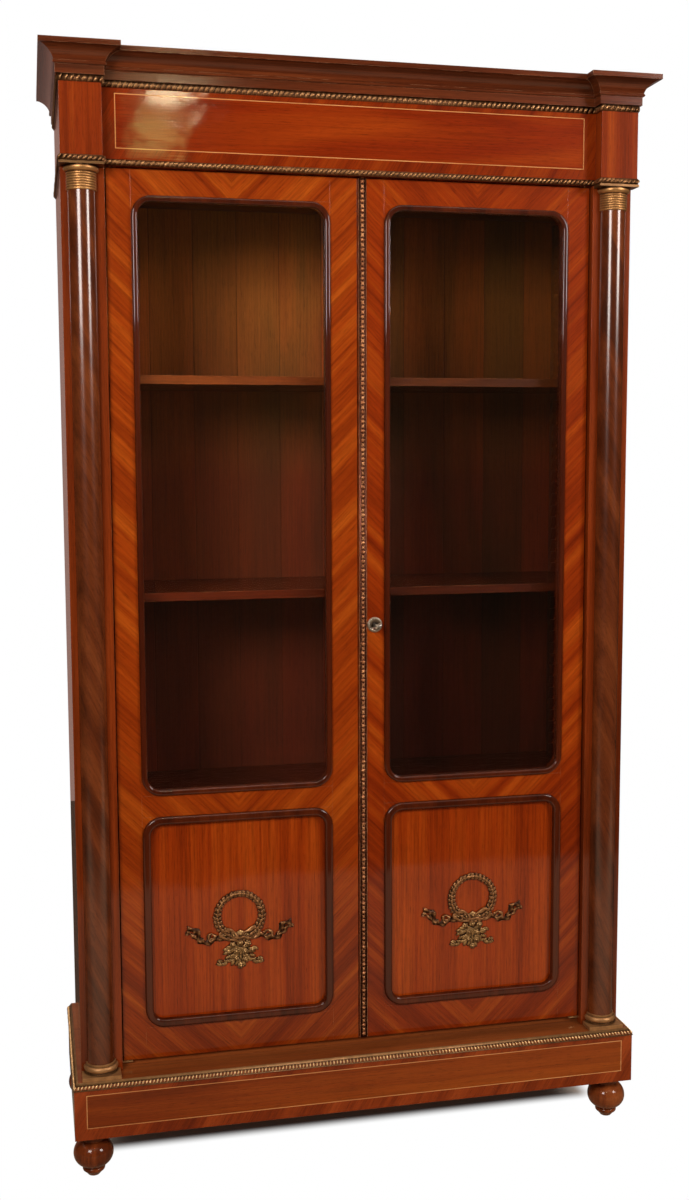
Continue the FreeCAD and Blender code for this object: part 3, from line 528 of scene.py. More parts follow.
def row_tree():
    """Sets a small ornament at even steps along paths, each turned and sized a little at random.

    An ornament faces sideways from its path, square to upright, or else the way that facing says.
    """
    tree = bpy.data.node_groups.new("row_of_ornaments", "GeometryNodeTree")
    kinds = {
        "paths": "Geometry", "ornament": "Object", "spacing": "Float", "upright": "Vector",
        "facing": "Vector", "turn": "Float", "change": "Float", "seed": "Int", "finish": "Material",
    }
    for name, kind in kinds.items():
        tree.interface.new_socket(name, in_out="INPUT", socket_type="NodeSocket" + kind)
    tree.interface.new_socket("row", in_out="OUTPUT", socket_type="NodeSocketGeometry")

    def node(kind, inputs, **settings):
        return new_node(tree, kind, inputs, **settings)

    def random_value(low, high, seed):
        return node("FunctionNodeRandomValue", {2: low, 3: high, "Seed": seed}, data_type="FLOAT")[1]

    given = tree.nodes.new("NodeGroupInput").outputs
    line = node("GeometryNodeMeshToCurve", {"Mesh": given["paths"]})[0]
    steps = {"Curve": line, "Length": given["spacing"]}
    points = node("GeometryNodeCurveToPoints", steps, mode="LENGTH")
    ahead_and_up = {0: points["Tangent"], 1: given["upright"]}
    outward = node("ShaderNodeVectorMath", ahead_and_up, operation="CROSS_PRODUCT")[0]
    facing = node("ShaderNodeVectorMath", {0: outward, 1: given["facing"]})[0]
    ahead_and_out = {0: points["Tangent"], 1: facing}
    axes = node("FunctionNodeAxesToRotation", ahead_and_out, primary_axis="X", secondary_axis="Z")[0]
    back = calc("MULTIPLY", given["turn"], -1.0)
    angle = random_value(back, given["turn"], given["seed"])
    turn = node("FunctionNodeAxisAngleToRotation", {"Axis": (0, 0, 1), "Angle": angle})[0]
    turned = node("FunctionNodeRotateRotation", {0: axes, 1: turn}, rotation_space="LOCAL")[0]
    smaller = calc("SUBTRACT", 1.0, given["change"])
    larger = calc("ADD", 1.0, given["change"])
    copies = node("GeometryNodeInstanceOnPoints", {
        "Points": points["Points"],
        "Instance": node("GeometryNodeObjectInfo", {"Object": given["ornament"]})["Geometry"],
        "Rotation": turned,
        "Scale": random_value(smaller, larger, calc("ADD", given["seed"], 7.0)),
    })[0]
    solid = node("GeometryNodeRealizeInstances", {"Geometry": copies})[0]
    finished = node("GeometryNodeSetMaterial", {"Geometry": solid, "Material": given["finish"]})[0]
    fill(tree.nodes.new("NodeGroupOutput"), {0: finished})
    return tree


ornament_rows = row_tree()


def row(paths, ornament, spacing, finish, **options):
    """Copies of an ornament along paths of points, as one plain mesh; the single one is removed."""
    given = {"ornament": ornament, "spacing": spacing, "finish": finish, "upright": (0, 0, 1)}
    given.update(options)
    points = []
    edges = []
    for path in paths:
        edges += [(len(points) + step, len(points) + step + 1) for step in range(len(path) - 1)]
        points += path
    line_mesh = bpy.data.meshes.new("row_path")
    line_mesh.from_pydata(points, edges, [])
    line = new_object("row_path", line_mesh)
    modifier = line.modifiers.new("row", "NODES")
    modifier.node_group = ornament_rows
    for socket in ornament_rows.interface.items_tree:
        if socket.name in given:
            modifier[socket.identifier] = given[socket.name]
    evaluated = line.evaluated_get(bpy.context.evaluated_depsgraph_get())
    mesh = bpy.data.meshes.new_from_object(evaluated)
    mesh.materials.clear()
    mesh.materials.append(finish)
    bpy.data.objects.remove(line)
    bpy.data.objects.remove(ornament)
    return new_object("row", mesh)


def settle(piece, body, slot, *replaced):
    """Puts a finished piece on its body and hides the CAD nodes that it stands for. Its slot argument is not
    used.
    """
    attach(piece, body)
    if replaced:
        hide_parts(*replaced)


leaf_tip_tones = ((0.03, 0.012, 0.004), (0.3, 0.14, 0.05), (0.8, 0.52, 0.25))
plinth_brass = brass("plinth_strip_brass", *leaf_tip_tones, depth=0.002, metal=0.6)
band_tones = ((0.045, 0.018, 0.006), (0.13, 0.064, 0.022), (0.26, 0.13, 0.046))
dull_brass = brass("dull_strip_brass", *band_tones, 0.45, metal=0.5)
plinth_corners = [(-0.604, 0.2245), (-0.604, -0.2055), (0.604, -0.2055), (0.604, 0.2245)]
band_profile = [
    (-0.0002, 0.2002), (0.0016, 0.2002), (0.0016, 0.2014), (-0.001, 0.203), (-0.0042, 0.2073),
    (-0.003, 0.2085), (-0.007, 0.2134), (-0.0078, 0.2141), (-0.0088, 0.2141), (-0.0092, 0.2132),
    (-0.002, 0.2026),
]
band = swept("plinth_band", plinth_corners, band_profile, dull_brass)
slope = math.radians(-39.3)
tooth = shaped(
    leaf(0.0092, 0.0044, 0.0028, 0.0),
    Matrix.Rotation(math.pi / 2, 4, "Z"),
    Matrix.Rotation(slope, 4, "X"),
)
tooth_height = 0.206
tooth_corners = [(-0.6029, 0.22), (-0.6029, -0.2044), (0.6029, -0.2044), (0.6029, 0.22)]
tooth_path = [(x, y, tooth_height) for x, y in tooth_corners]
teeth = row([tooth_path], tooth, 0.0072, plinth_brass, turn=0.16, change=0.1, seed=3)
settle(joined("plinth_leaf_strip", band, teeth), "case", "gilt_brass", "plinth_brass_strip")


# The carcass: sides, posts, back and inner boards. The outside is veneered with the grain upright, and the
# inside is stained, only thinly polished, and given painted shade towards the bottom and the right.
post_tones = ((0.075, 0.012, 0.0022), (0.165, 0.024, 0.003), (0.24, 0.04, 0.006))
wear(polished("post_veneer", upright, *post_tones, figure=26.0), "front_posts")
side_tones = ((0.095, 0.015, 0.0025), (0.19, 0.028, 0.0035), (0.255, 0.042, 0.006))
wear(polished("side_veneer", upright, *side_tones, figure=15.0, contrast=0.5), "side_boards")


def with_painted_inner_shade(colour):
    """The inside's stain with painted shade, which makes it darker and redder towards the bottom and darker
    towards the right.
    """
    x, y, z = point_parts(colour.id_data)
    lowest = 0.7
    level = calc("DIVIDE", calc("SUBTRACT", z, lowest), 2.0 - lowest)
    downward = toned(level, (0.1, (0.26, 0.11, 0.1)), (0.55, (0.46, 0.24, 0.17)), (0.85, (1, 1, 0.8)))
    rightward = toned(calc("ADD", x, 0.5), (0.42, (1, 1, 1)), (0.62, (0.55, 0.58, 0.62)))
    return tinted(tinted(colour, downward), rightward)


def stained(name, run, *tones):
    """Stained inner wood with a thin, dull polish, and the painted shade of the inside."""
    material, tree = new_material(name)
    colour, streaks, relief = wood_colour(run(tree), *tones, 7.0, 0.45)
    clouds = noise(point(tree), 3.0)
    shade = toned(clouds, (0.3, (0.7, 0.68, 0.66)), (0.6, (1.1, 1.1, 1.1)))
    return paint(material, {
        "Base Color": with_painted_inner_shade(tinted(colour, shade, 0.8)),
        "Roughness": calc("MULTIPLY_ADD", streaks, 0.3, 0.4),
        "Normal": bumped(relief, 0.0003),
        "Specular IOR Level": 0.06,
        "Coat Weight": 0.25,
        "Coat Roughness": 0.22,
        "Coat IOR": 1.32,
    })


inner_tones = ((0.06, 0.016, 0.0025), (0.13, 0.034, 0.005), (0.17, 0.048, 0.008))
wear(stained("stained_inner_wood", along_x, *inner_tones), "top_board")
wear(stained("stained_upright_wood", upright, *inner_tones), "shelf_racks")


# The back is made of upright tongued boards. Its inner face is stained like the rest of the inside, and its
# rear face is plain wood, like the roof board and the other hidden boards.
def boarded(x, width):
    """A tone for each upright board of a given width, and how near a point is to a joint."""
    place = calc("DIVIDE", x, width)
    number = {"W": calc("FLOOR", place)}
    tone = new_node(x.id_data, "ShaderNodeTexWhiteNoise", number, noise_dimensions="1D")["Value"]
    return tone, eased(away_from(calc("FRACT", place), 0.5), 0.488, 0.496)


raw_tones = ((0.155, 0.066, 0.024), (0.27, 0.126, 0.048), (0.35, 0.182, 0.079))
back_tones = ((0.11, 0.043, 0.008), (0.215, 0.054, 0.0075), (0.175, 0.034, 0.0045))
back_middle = 0.2235


def plain_wood(name, run, board_width=None):
    """Unpolished secondary wood, gone brown with age, and dusty, in boards or in one piece."""
    material, tree = new_material(name)
    colour, streaks, height = wood_colour(run(tree), *raw_tones, 16.0, 0.65)
    dirt = toned(noise(point(tree), 3.5, 5.0, 0.7), (0.3, (0.74, 0.68, 0.62)), (0.62, (1.06, 1.05, 1.04)))
    colour = tinted(colour, dirt, 0.7)
    if board_width is not None:
        x, y, z = point_parts(tree)
        tone, joint = boarded(x, board_width)
        shade = toned(tone, (0.0, (0.78, 0.74, 0.7)), (1.0, (1.15, 1.15, 1.15)))
        rear = blended(calc("MULTIPLY", joint, 0.85), tinted(colour, shade), (0.012, 0.006, 0.003, 1))
        # The inner face's stain also takes the painted shade of the inside.
        stain_and_painted_shade = with_painted_inner_shade(wood_colour(run(tree), *back_tones, 5.0, 0.45)[0])
        tint = toned(tone, (0.0, (0.7, 0.86, 0.9)), (0.5, (1.05, 0.95, 0.85)), (1.0, (1.15, 0.9, 0.7)))
        inner = blended(calc("MULTIPLY", joint, 0.5), tinted(stain_and_painted_shade, tint), (0.01, 0.003, 0.001, 1))
        colour = blended(calc("GREATER_THAN", y, back_middle), inner, rear)
        height = calc("SUBTRACT", height, calc("MULTIPLY", joint, 3.0))
    return paint(material, {
        "Base Color": colour,
        "Roughness": 0.62,
        "Normal": bumped(height, 0.0004),
        "Specular IOR Level": 0.06,
    })


wear(plain_wood("back_boards", upright, 0.0975), "back_panel")
wear(plain_wood("plain_wood", along_x), "roof_board", "plinth_back_board")
wear(plain_wood("plain_block_wood", upright), "plinth_corner_blocks")


# Three loose shelves lie on bars that fit the notches of four racks, so they can be set at other heights.
# Their front edges have a redder lipping.
shelf_wood, tree = new_material("shelf_wood")
x, y, z = point_parts(tree)
board, streaks, relief = wood_colour((x, y, z), *inner_tones, 7.0)
lipping_tones = ((0.07, 0.016, 0.003), (0.13, 0.03, 0.005), (0.175, 0.044, 0.008))
lipping = wood_colour((x, z, y), *lipping_tones, 12.0)[0]
lipping_back = -0.0905
at_front = calc("LESS_THAN", y, lipping_back)
# The shelves take the painted shade of the inside too, darker towards the bottom and the right.
finish_wood(shelf_wood, with_painted_inner_shade(blended(at_front, board, lipping)), streaks, relief, polish=0.2)
wear(shelf_wood, "lower_shelf", "middle_shelf", "upper_shelf")
wear(stained("shelf_bar_wood", along_y, *inner_tones), "shelf_cleats")


# The columns are half-round shafts of darker wood against the posts. Each has a turned brass base on a
# square plate, and a ringed brass capital under a square one that has gone dull.
def wound(tree):
    """Fibres that run up at a slant, as on a veneer wound round a shaft."""
    x, y, z = point_parts(tree)
    return (*slanting(z, x, 0.91, -0.42), y)


shaft_tones = ((0.046, 0.009, 0.0018), (0.1, 0.0205, 0.0042), (0.16, 0.038, 0.0085))
shaft_wood = polished(
    "column_shaft_wood",
    wound,
    *shaft_tones,
    figure=24.0,
    contrast=0.5,
    polish=0.18,
    waves=0.0002,
    gloss=1.5,
)
wear(shaft_wood, "left_column_shaft", "right_column_shaft")
capital_tones = ((0.12, 0.048, 0.013), (0.28, 0.126, 0.039), (0.48, 0.25, 0.088))
capital_brass = brass("capital_brass", *capital_tones, 0.4, 0.006, 0.7)
tree = capital_brass.node_tree
square_bottom = 2.0238
dulled = calc("MULTIPLY", calc("GREATER_THAN", point_parts(tree)[2], square_bottom), 0.75)
ring_colour = tree.nodes["Principled BSDF"].inputs["Base Color"].links[0].from_socket
paint(capital_brass, {"Base Color": blended(dulled, ring_colour, (0.055, 0.024, 0.008, 1))})
wear(capital_brass, "column_capitals")
base_tones = ((0.085, 0.038, 0.012), (0.2, 0.092, 0.032), (0.38, 0.195, 0.074))
wear(brass("base_brass", *base_tones, 0.42, 0.006, 0.6), "column_bases")


# The frieze is one long board between two blocks over the columns. It has lengthwise veneer inside a pale
# stringing line, and the blocks have upright veneer.
frieze_tones = ((0.105, 0.007, 0.0005), (0.175, 0.015, 0.0007), (0.25, 0.032, 0.0018))
frieze_border = ((0.105, 0.009, 0.0007), (0.175, 0.018, 0.001), (0.25, 0.036, 0.0025))
frieze_wood = inlaid(
    "inlaid_frieze_veneer",
    0.4805,
    2.062,
    2.1636,
    frieze_tones,
    frieze_border,
    polish=0.07,
    waves=0.0005,
    ripple=20.0,
    grain=0.1,
)
wear(frieze_wood, "frieze_board")
block_tones = ((0.085, 0.01, 0.0012), (0.18, 0.022, 0.0022), (0.27, 0.044, 0.0045))
wear(polished("block_veneer", upright, *block_tones, figure=34.0), "frieze_blocks")


# Two strips of stamped brass, twisted like a rope of leaves, are pinned along the frieze's lower and upper
# edges. Their end lengths wrap the blocks and run back along the sides.
rope_tones = ((0.045, 0.014, 0.005), (0.18, 0.074, 0.026), (0.5, 0.27, 0.115))
frieze_brass = brass("frieze_strip_brass", *rope_tones, 0.36, 0.003)
bed_tones = ((0.04, 0.013, 0.004), (0.09, 0.036, 0.012), (0.17, 0.07, 0.025))
rope_bed_brass = brass("rope_bed_brass", *bed_tones, 0.45)


def arched(piece, half_height, crown):
    """Bends a flat ornament over a rounded bed."""
    for vertex in piece.data.vertices:
        vertex.co.z += crown * (1 - (vertex.co.y / half_height) ** 2)


def leaf_rope(name, low, high, spacing, leaf_length, leaf_width, lean):
    """A rounded bed with slanting leaves over it."""
    middle = (low + high) / 2
    half = (high - low) / 2
    crown = 0.0024
    arc = [math.pi * step / 8 for step in range(9)]
    profile = [(crown * math.sin(turn), middle - half * math.cos(turn)) for turn in arc]
    profile += [(-0.0004, high), (-0.0004, low)]

    def runs(back):
        wrap = [(-0.587, back), (-0.587, -0.1885), (-0.507, -0.1885), (-0.507, -0.158)]
        other_wrap = [(-x, y) for x, y in reversed(wrap)]
        return wrap, [(-0.5035, -0.1575), (0.5035, -0.1575)], other_wrap

    beds = [swept("bed", run, profile, rope_bed_brass) for run in runs(0.2245)]
    blades = []
    broad = (leaf_length, leaf_width, 0.0034, 0.0)
    narrow = (leaf_length * 0.92, leaf_width * 0.42, 0.0024, spacing / 2)
    for length, width, rise, start in (broad, narrow):
        blade = leaf(length, width, rise, 0.4)
        shaped(blade, Matrix.Rotation(math.radians(lean), 4, "Z"))
        arched(blade, half * 1.05, crown * 1.1)
        paths = []
        for run in runs(0.217):
            first = Vector(run[0])
            first += (Vector(run[1]) - first).normalized() * start
            paths.append([(x, y, middle) for x, y in [tuple(first), *run[1:]]])
        blades.append(row(paths, blade, spacing, frieze_brass, turn=0.1, change=0.08, seed=11))
    settle(joined(name, *beds, *blades), "case", "gilt_brass", name.replace("leaf_rope", "brass_strip"))


leaf_rope("lower_leaf_rope", 2.029, 2.041, 0.0092, 0.0145, 0.0054, 40)
leaf_rope("upper_leaf_rope", 2.174, 2.187, 0.0104, 0.0152, 0.0066, 54)


# The cornice is a solid moulding in three lengths: a fascia, a bead, a hollow and a top fillet. The two ends
# step forward over the blocks and run back along the sides.
def along_moulding(tree):
    """Fibres that run sideways on the front and from front to back on the returns."""
    x, y, z = point_parts(tree)
    facing = point_parts(tree, "Normal")
    returns = calc("GREATER_THAN", calc("ABSOLUTE", facing[0]), calc("ABSOLUTE", facing[1]))
    stays = calc("SUBTRACT", 1.0, returns)
    along = calc("MULTIPLY_ADD", x, stays, calc("MULTIPLY", y, returns))
    across = calc("MULTIPLY_ADD", y, stays, calc("MULTIPLY", x, returns))
    return along, z, across


cornice_tones = ((0.044, 0.009, 0.0022), (0.092, 0.018, 0.0044), (0.135, 0.03, 0.0075))
# The light rub along the cornice's arrises is partly worn polish and partly painted highlight, for the light
# lines on its bead.
cornice_wood = polished(
    "cornice_wood",
    along_moulding,
    *cornice_tones,
    figure=48.0,
    contrast=0.7,
    edge=0.0016,
    rub=(0.6, 0.32, 0.17, 1),
    polish=0.16,
)
wear(cornice_wood, "cornice_front", "left_cornice", "right_cornice")


# Each door is a frame veneered at a slant, so that the grain meets in a V at the middle of every rail. It
# holds a pane above and a panel below, and turns on brass pivots in its top and bottom edges.
def slanted(centre):
    """Fibres that slope down towards the door's centre line from both sides."""
    def run(tree):
        x, y, z = point_parts(tree)
        diagonal = 0.7071
        along, across = slanting(away_from(x, centre), z, diagonal, diagonal)
        return along, across, calc("ADD", y, centre * 3)
    return run


def door_veneer(name, run, *tones):
    """Polished veneer with painted shade that darkens it towards the floor."""
    material, tree = new_material(name)
    colour, streaks, relief = wood_colour(run(tree), *tones, 30.0, 0.5)
    height = point_parts(tree)[2]
    # Painted shade: the frame is darker lower down, where less light falls on it.
    shade = toned(height, (0.25, (0.8, 0.78, 1.0)), (0.6, (0.9, 0.88, 1.0)), (1.0, (1, 1, 1)))
    return finish_wood(material, tinted(colour, shade), streaks, relief)


left_tones = ((0.165, 0.018, 0.001), (0.25, 0.034, 0.0018), (0.35, 0.068, 0.0044))
right_tones = ((0.15, 0.014, 0.0008), (0.23, 0.026, 0.0012), (0.33, 0.056, 0.0034))
panel_tones = ((0.135, 0.013, 0.0008), (0.232, 0.027, 0.0014), (0.31, 0.048, 0.0032))
moulding_tones = ((0.024, 0.0036, 0.0009), (0.054, 0.0078, 0.0015), (0.082, 0.0135, 0.0026))
moulding_wood = polished(
    "dark_moulding_wood",
    upright,
    *moulding_tones,
    figure=24.0,
    rub=(0.18, 0.055, 0.018, 1),
    polish=0.06,
    waves=0.0002,
    gloss=1.37,
)
panel_wood = polished("panel_veneer", upright, *panel_tones, figure=26.0, contrast=0.55)
door_centre = 0.2545
for side, centre, tones in (("left", -door_centre, left_tones), ("right", door_centre, right_tones)):
    frame_wood = door_veneer(side + "_door_veneer", slanted(centre), *tones)
    for part in ("hinge_stile", "meeting_stile", "rails", "corner_blocks"):
        wear(frame_wood, f"{side}_door_{part}")
    wear(panel_wood, f"{side}_door_panel")
    for part in ("glass_moulding", "panel_moulding", "glazing_beads"):
        wear(moulding_wood, f"{side}_door_{part}")


# The panes are old drawn glass, slightly uneven and slightly grey. They lie behind the dark mouldings and are
# held by beads from inside. They cast no dark shadow.
pane, tree = new_material("pane_glass")
paint(pane, {
    "Base Color": (0.93, 0.95, 0.93, 1),
    "Transmission Weight": 1.0,
    "IOR": 1.5,
    "Roughness": 0.0,
    "Normal": bumped(noise(point(tree), 5.0, 2.0, 0.4), 0.0006),
})
ray = tree.nodes.new("ShaderNodeLightPath").outputs
cover(pane, ray["Is Shadow Ray"], tree.nodes.new("ShaderNodeBsdfTransparent").outputs[0])
wear(pane, "left_door_glass", "right_door_glass")


# The lock is let into the edge of the right door. The key, the lock and the dished rosette with its beaded
# rim are worn white metal, dark in the dish, and the pivots and slide bolts are plain brass.
key_x = 0.0355
key_z = 1.121
steel = brass("worn_key_metal", (0.22, 0.18, 0.14), (0.42, 0.37, 0.31), (0.7, 0.66, 0.58), 0.28, 0.003, 0.9)
wear(steel, "key", "lock_bolt", "lock_case")
rosette_metal, tree = new_material("rosette_metal")
x, y, z = point_parts(tree)
from_key = calc("MULTIPLY", hypotenuse(away_from(x, key_x), away_from(z, key_z)), 50.0)
blotches = noise(point(tree), 260.0)
dish = toned(
    calc("MULTIPLY_ADD", blotches, 0.16, calc("SUBTRACT", from_key, 0.08)),
    (0.2, (0.008, 0.005, 0.003)),
    (0.42, (0.06, 0.042, 0.028)),
    (0.56, (0.16, 0.125, 0.09)),
    (0.74, (0.3, 0.25, 0.19)),
)
paint(rosette_metal, {
    "Base Color": dish,
    "Roughness": calc("MULTIPLY_ADD", blotches, 0.3, 0.22),
    "Normal": bumped(blotches, 0.0002, soft_edges(tree, 0.0005)[0]),
    "Metallic": 0.85,
})
wear(rosette_metal, "key_rosette")


def turns(count):
    """Even angles round a full turn."""
    return [2 * math.pi * step / count for step in range(count)]


def bead(radius):
    """A small round bead."""
    shell = bmesh.new()
    bmesh.ops.create_icosphere(shell, subdivisions=1, radius=radius)
    for face in shell.faces:
        face.smooth = True
    mesh = bpy.data.meshes.new("bead")
    shell.to_mesh(mesh)
    shell.free()
    return new_object("bead", mesh)


def front_row(path, ornament, spacing, finish, **options):
    """A row on one path, of ornaments that face forwards."""
    return row([path], ornament, spacing, finish, upright=(0, 0, 0), facing=(0, -1, 0), **options)


rim_radius = 0.0127
rim_front = -0.1486
rim = []
for turn in turns(26):
    rim.append((key_x + rim_radius * math.cos(turn), rim_front, key_z + rim_radius * math.sin(turn)))
rim_beads = front_row(rim, bead(0.0011), 0.00304, steel)
rim_beads.name = "rosette_beads"
settle(rim_beads, "right_door", "steel_and_brass")
plain_brass = brass("plain_hardware_brass", (0.25, 0.13, 0.05), (0.42, 0.25, 0.1), (0.6, 0.38, 0.17), 0.32)
wear(plain_brass, "door_pivot_plates", "left_door_pivot_sockets", "right_door_pivot_sockets")
wear(plain_brass, "left_door_bolt_cases", "upper_door_bolt", "lower_door_bolt")


# A strip of stamped brass covers the gap where the doors meet. It is pinned to the right door: a flat bed
# with beaded edges, and a chain of small flowers and crossed leaves.
strip_tones = ((0.06, 0.013, 0.005), (0.21, 0.055, 0.018), (0.7, 0.37, 0.17))
strip_brass = brass("meeting_strip_brass", *strip_tones, bed=-0.145, rise=0.0022)
strip_face = -0.1445
strip_low = 0.229
strip_high = 2.027
bed_section = [(0.002, 0.0), (0.002, 0.0014), (0.0028, 0.0018), (0.0038, 0.0009), (0.0172, 0.0009)]
bed_section += [(0.0182, 0.0018), (0.019, 0.0014), (0.019, 0.0)]
bed_points = [(x, strip_face - out, z) for z in (strip_low, strip_high) for x, out in bed_section]
strip_bed = made("strip_bed", bed_points, skin(2, len(bed_section)), strip_brass)


def flower(radius, rise, petals, material=None):
    """A round open flower that rises to +Z, with a button in its middle and a closed underside."""
    core = 0.28
    rings = 3
    around = petals * 4
    vertices = []
    sizes = [core * 0.8, core] + [core + (1 - core) * (ring + 1) / rings for ring in range(rings)]
    for index, share in enumerate(sizes):
        for turn in turns(around):
            lobe = 0.5 + 0.5 * math.cos(turn * petals)
            reach = share if index < 2 else share * (0.78 + 0.22 * lobe)
            if index == 0:
                height = rise * 0.9
            elif index == 1:
                height = rise * 0.45
            else:
                height = rise * (1 - reach) * 1.25 * (0.45 + 0.55 * lobe)
            vertices.append((radius * reach * math.cos(turn), radius * reach * math.sin(turn), height))
    top = len(vertices)
    vertices.append((0, 0, rise))
    faces = skin(len(sizes), around)
    faces.remove(tuple(range(around)))
    faces += [(top, step, (step + 1) % around) for step in range(around)]
    return made("flower", vertices, faces, material)


def strip_path(x, out, above_low, below_high):
    """A line up the strip's face, a little out from it, with a margin at each end."""
    return [(x, strip_face - out, strip_low + above_low), (x, strip_face - out, strip_high - below_high)]


strip_middle = 0.0105
flower_step = 0.019
half_step = flower_step / 2
flower_path = strip_path(strip_middle, 0.0008, 0.008, 0.006)
leaf_path = strip_path(strip_middle, 0.0008, 0.008 + half_step, 0.006 - half_step)
small_flower = flower(0.0056, 0.003, 5)
flowers = front_row(flower_path, small_flower, flower_step, strip_brass, turn=0.5, change=0.05, seed=21)
crossed = []
for lean in (-38, 38):
    blade = shaped(leaf(0.0125, 0.004, 0.0022, 0.3), Matrix.Rotation(math.radians(lean), 4, "Z"))
    crossed.append(front_row(leaf_path, blade, flower_step, strip_brass, turn=0.08, change=0.06, seed=22))
edge_paths = [strip_path(x, 0.0016, 0.001, 0.001) for x in (0.0029, 0.0181)]
edge_beads = [front_row(path, bead(0.00085), 0.0024, strip_brass) for path in edge_paths]
flower_strip = joined("flower_strip", strip_bed, flowers, *crossed, *edge_beads)
settle(flower_strip, "right_door", "gilt_brass", "meeting_strip")


# A cast and chased brass mount is pinned to each lower panel: a wreath of bay leaves on a ribbon that ends in
# curls, with a drop of roses and sprigs below. It was gilt, and is now brown in its hollows.
mount_tones = ((0.025, 0.008, 0.002), (0.12, 0.046, 0.015), (0.4, 0.2, 0.082))
mount_brass = brass("wreath_brass", *mount_tones, bed=-0.1385, rise=0.004)
drop_tones = ((0.025, 0.009, 0.002), (0.13, 0.062, 0.019), (0.54, 0.33, 0.135))
drop_brass = brass("drop_brass", *drop_tones, bed=-0.1375, rise=0.0036)
mount_height = 0.518
wreath_height = mount_height - 0.0008
panel_face = -0.1375


def placed(piece, x, z, turn=0.0, lift=0.0):
    """Stands a small ornament up against the panel, at x, and at z over the mount's middle."""
    upright_turn = Matrix.Rotation(math.pi / 2, 4, "X")
    place = Matrix.Translation((x, panel_face - lift, mount_height + z))
    return shaped(piece, Matrix.Rotation(turn, 4, "Z"), upright_turn, place)


def ribbon(points, width, ruffle, twists):
    """A band that rises to +Z along smooth points, with waves across it."""
    steps = 40
    spans = len(points) - 1
    centre = []
    for step in range(steps + 1):
        place = step / steps * spans
        index = min(int(place), spans - 1)
        part = place - index
        corners = [Vector(points[min(max(index + offset, 0), spans)]) for offset in (-1, 0, 1, 2)]
        before, near, far, after = corners
        curve = 2 * near + (far - before) * part
        curve += (2 * before - 5 * near + 4 * far - after) * part ** 2
        curve += (3 * near - before - 3 * far + after) * part ** 3
        centre.append(curve / 2)
    vertices = []
    for step, spot in enumerate(centre):
        run = (centre[min(step + 1, steps)] - centre[max(step - 1, 0)]).normalized()
        turn = 2 * math.pi * twists * step / steps
        half = Vector((-run.y, run.x)) * width / 2 * (0.72 + 0.28 * math.cos(turn))
        for share in (-1.0, -0.33, 0.33, 1.0):
            rise = 0.0021 + ruffle * math.sin(turn) * share + 0.0009 * (1 - share * share)
            vertices.append((*(spot + half * share), rise))
        vertices += [(*(spot + half), 0.0), (*(spot - half), 0.0)]
    return made("ribbon", vertices, skin(steps + 1, 6), mount_brass)


def wreath(centre):
    """The wreath's ring, and three rows of bay leaves up each of its halves."""
    around = turns(48)
    section = ((0.0415, 0.0), (0.043, 0.0017), (0.051, 0.0017), (0.0525, 0.0))
    ring_points = []
    for turn in around:
        for reach, out in section:
            x = centre + reach * math.cos(turn)
            ring_points.append((x, panel_face - out, wreath_height + reach * math.sin(turn)))
    faces = skin(len(around), len(section), looped=True)
    parts = [made("wreath_ring", ring_points, faces, mount_brass)]
    leaf_radius = 0.0472
    steps = 40
    rows = ((0.014, 0.0, 0.0, 0.0026), (0.0125, -0.0044, -0.5, 0.0016), (0.0125, 0.0044, 0.5, 0.0016))
    for index, (length, offset, lean, lift) in enumerate(rows):
        for way in (-1, 1):
            blade = shaped(leaf(length, 0.0074, 0.0042, 0.35), Matrix.Rotation(-way * lean, 4, "Z"))
            path = []
            for step in range(steps + 1):
                turn = math.radians(-92 + 182 * step / steps)
                radius = leaf_radius + offset * (1.1 - 0.35 * math.sin(turn))
                x = centre + way * radius * math.cos(turn)
                path.append((x, panel_face - lift, wreath_height + radius * math.sin(turn)))
            seed = 31 + index * 2 + (way > 0) + (centre > 0) * 10
            parts.append(front_row(path, blade, 0.0088, mount_brass, turn=0.22, change=0.12, seed=seed))
    return parts


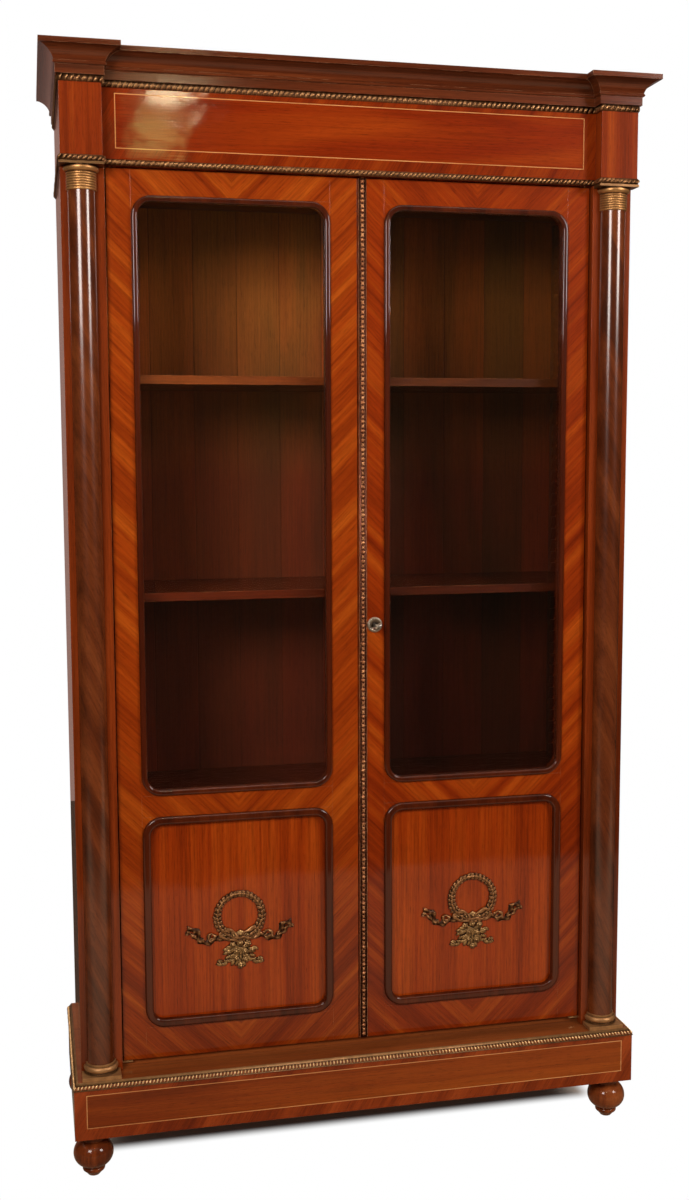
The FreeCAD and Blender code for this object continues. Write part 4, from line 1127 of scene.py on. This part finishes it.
band_line = (
    (0.0, -0.047), (0.022, -0.043), (0.044, -0.046), (0.06, -0.051), (0.074, -0.054),
    (0.084, -0.047), (0.088, -0.033), (0.096, -0.025), (0.11, -0.023),
)
curl_line = (
    (0.05, -0.042), (0.06, -0.036), (0.067, -0.043), (0.062, -0.051), (0.053, -0.048), (0.056, -0.043),
)
tail_line = ((0.08, -0.05), (0.092, -0.044), (0.099, -0.035), (0.108, -0.03), (0.113, -0.034))
bow_line = (
    (0.003, -0.045), (0.014, -0.035), (0.031, -0.03), (0.041, -0.038), (0.029, -0.05), (0.006, -0.049),
)
sprig_places = ((0.013, -0.088), (0.022, -0.097), (0.033, -0.103), (0.043, -0.103))
roses = (
    (0.0, -0.059, 0.0092, 5), (-0.0155, -0.0625, 0.0084, 5), (0.0165, -0.062, 0.0084, 6),
    (-0.0075, -0.0765, 0.0088, 6), (0.0105, -0.0785, 0.0084, 5), (-0.024, -0.0775, 0.0074, 5),
    (0.026, -0.0765, 0.0072, 5), (-0.0085, -0.093, 0.008, 5), (0.009, -0.095, 0.0074, 5),
    (0.001, -0.1085, 0.0082, 6), (0.001, -0.04, 0.0098, 6), (-0.014, -0.042, 0.0066, 5),
    (0.0155, -0.0415, 0.007, 5), (-0.032, -0.04, 0.006, 5), (0.033, -0.037, 0.0066, 5),
)


def wreath_mount(side, centre):
    """One mount, built round the middle of its panel."""
    parts = wreath(centre)

    def add(piece, x, *place):
        parts.append(placed(piece, centre + x, *place))

    def drop_leaf(length, width, rise=0.0042):
        return leaf(length, width, rise, material=drop_brass)

    for way in (-1, 1):
        for line, width, ruffle, twists, lift in (
            (band_line, 0.016, 0.0028, 5.0, 0.0),
            (curl_line, 0.0072, 0.0016, 3.0, 0.0012),
            (tail_line, 0.009, 0.0018, 2.5, 0.0008),
            (bow_line, 0.0105, 0.002, 3.0, 0.0018),
        ):
            add(ribbon([(way * x, z) for x, z in line], width, ruffle, twists), 0.0, 0.0, 0.0, lift)
        for index, (x, z) in enumerate(sprig_places):
            turn = math.atan2(-0.4, way) + 0.5 * way * (index % 2)
            add(drop_leaf(0.017, 0.0084), way * x, z, turn, 0.0006)
            add(drop_leaf(0.013, 0.007, 0.0036), way * (x - 0.003), z + 0.006, turn + 0.7 * way, 0.0006)
        add(flower(0.0056, 0.0046, 5, drop_brass), way * 0.044, -0.0975, 0.3, 0.0008)
    drop_leaves = 34
    for index in range(drop_leaves):
        turn = math.radians(-172 + 164 * index / (drop_leaves - 1))
        reach = 0.018 + 0.01 * math.sin(index * 2.4)
        x = reach * 1.2 * math.cos(turn)
        z = -0.064 + reach * 1.45 * math.sin(turn)
        size = 0.0165 + 0.003 * math.cos(index * 1.7)
        add(drop_leaf(size, size * 0.5), x, z, turn + 0.35 * math.sin(index * 3.1), 0.001)
    for index, (x, z, size, petals) in enumerate(roses):
        add(flower(size, 0.0062, petals, drop_brass), x, z, index * 0.9, 0.0016)
    add(ribbon([(0.0, -0.07), (0.001, -0.09), (0.001, -0.112)], 0.004, 0.0, 1.0), 0.0, 0.0)
    settle(joined(side + "_wreath", *parts), side + "_door", "gilt_brass", side + "_door_wreath_mount")


wreath_mount("left", -door_centre)
wreath_mount("right", door_centre)
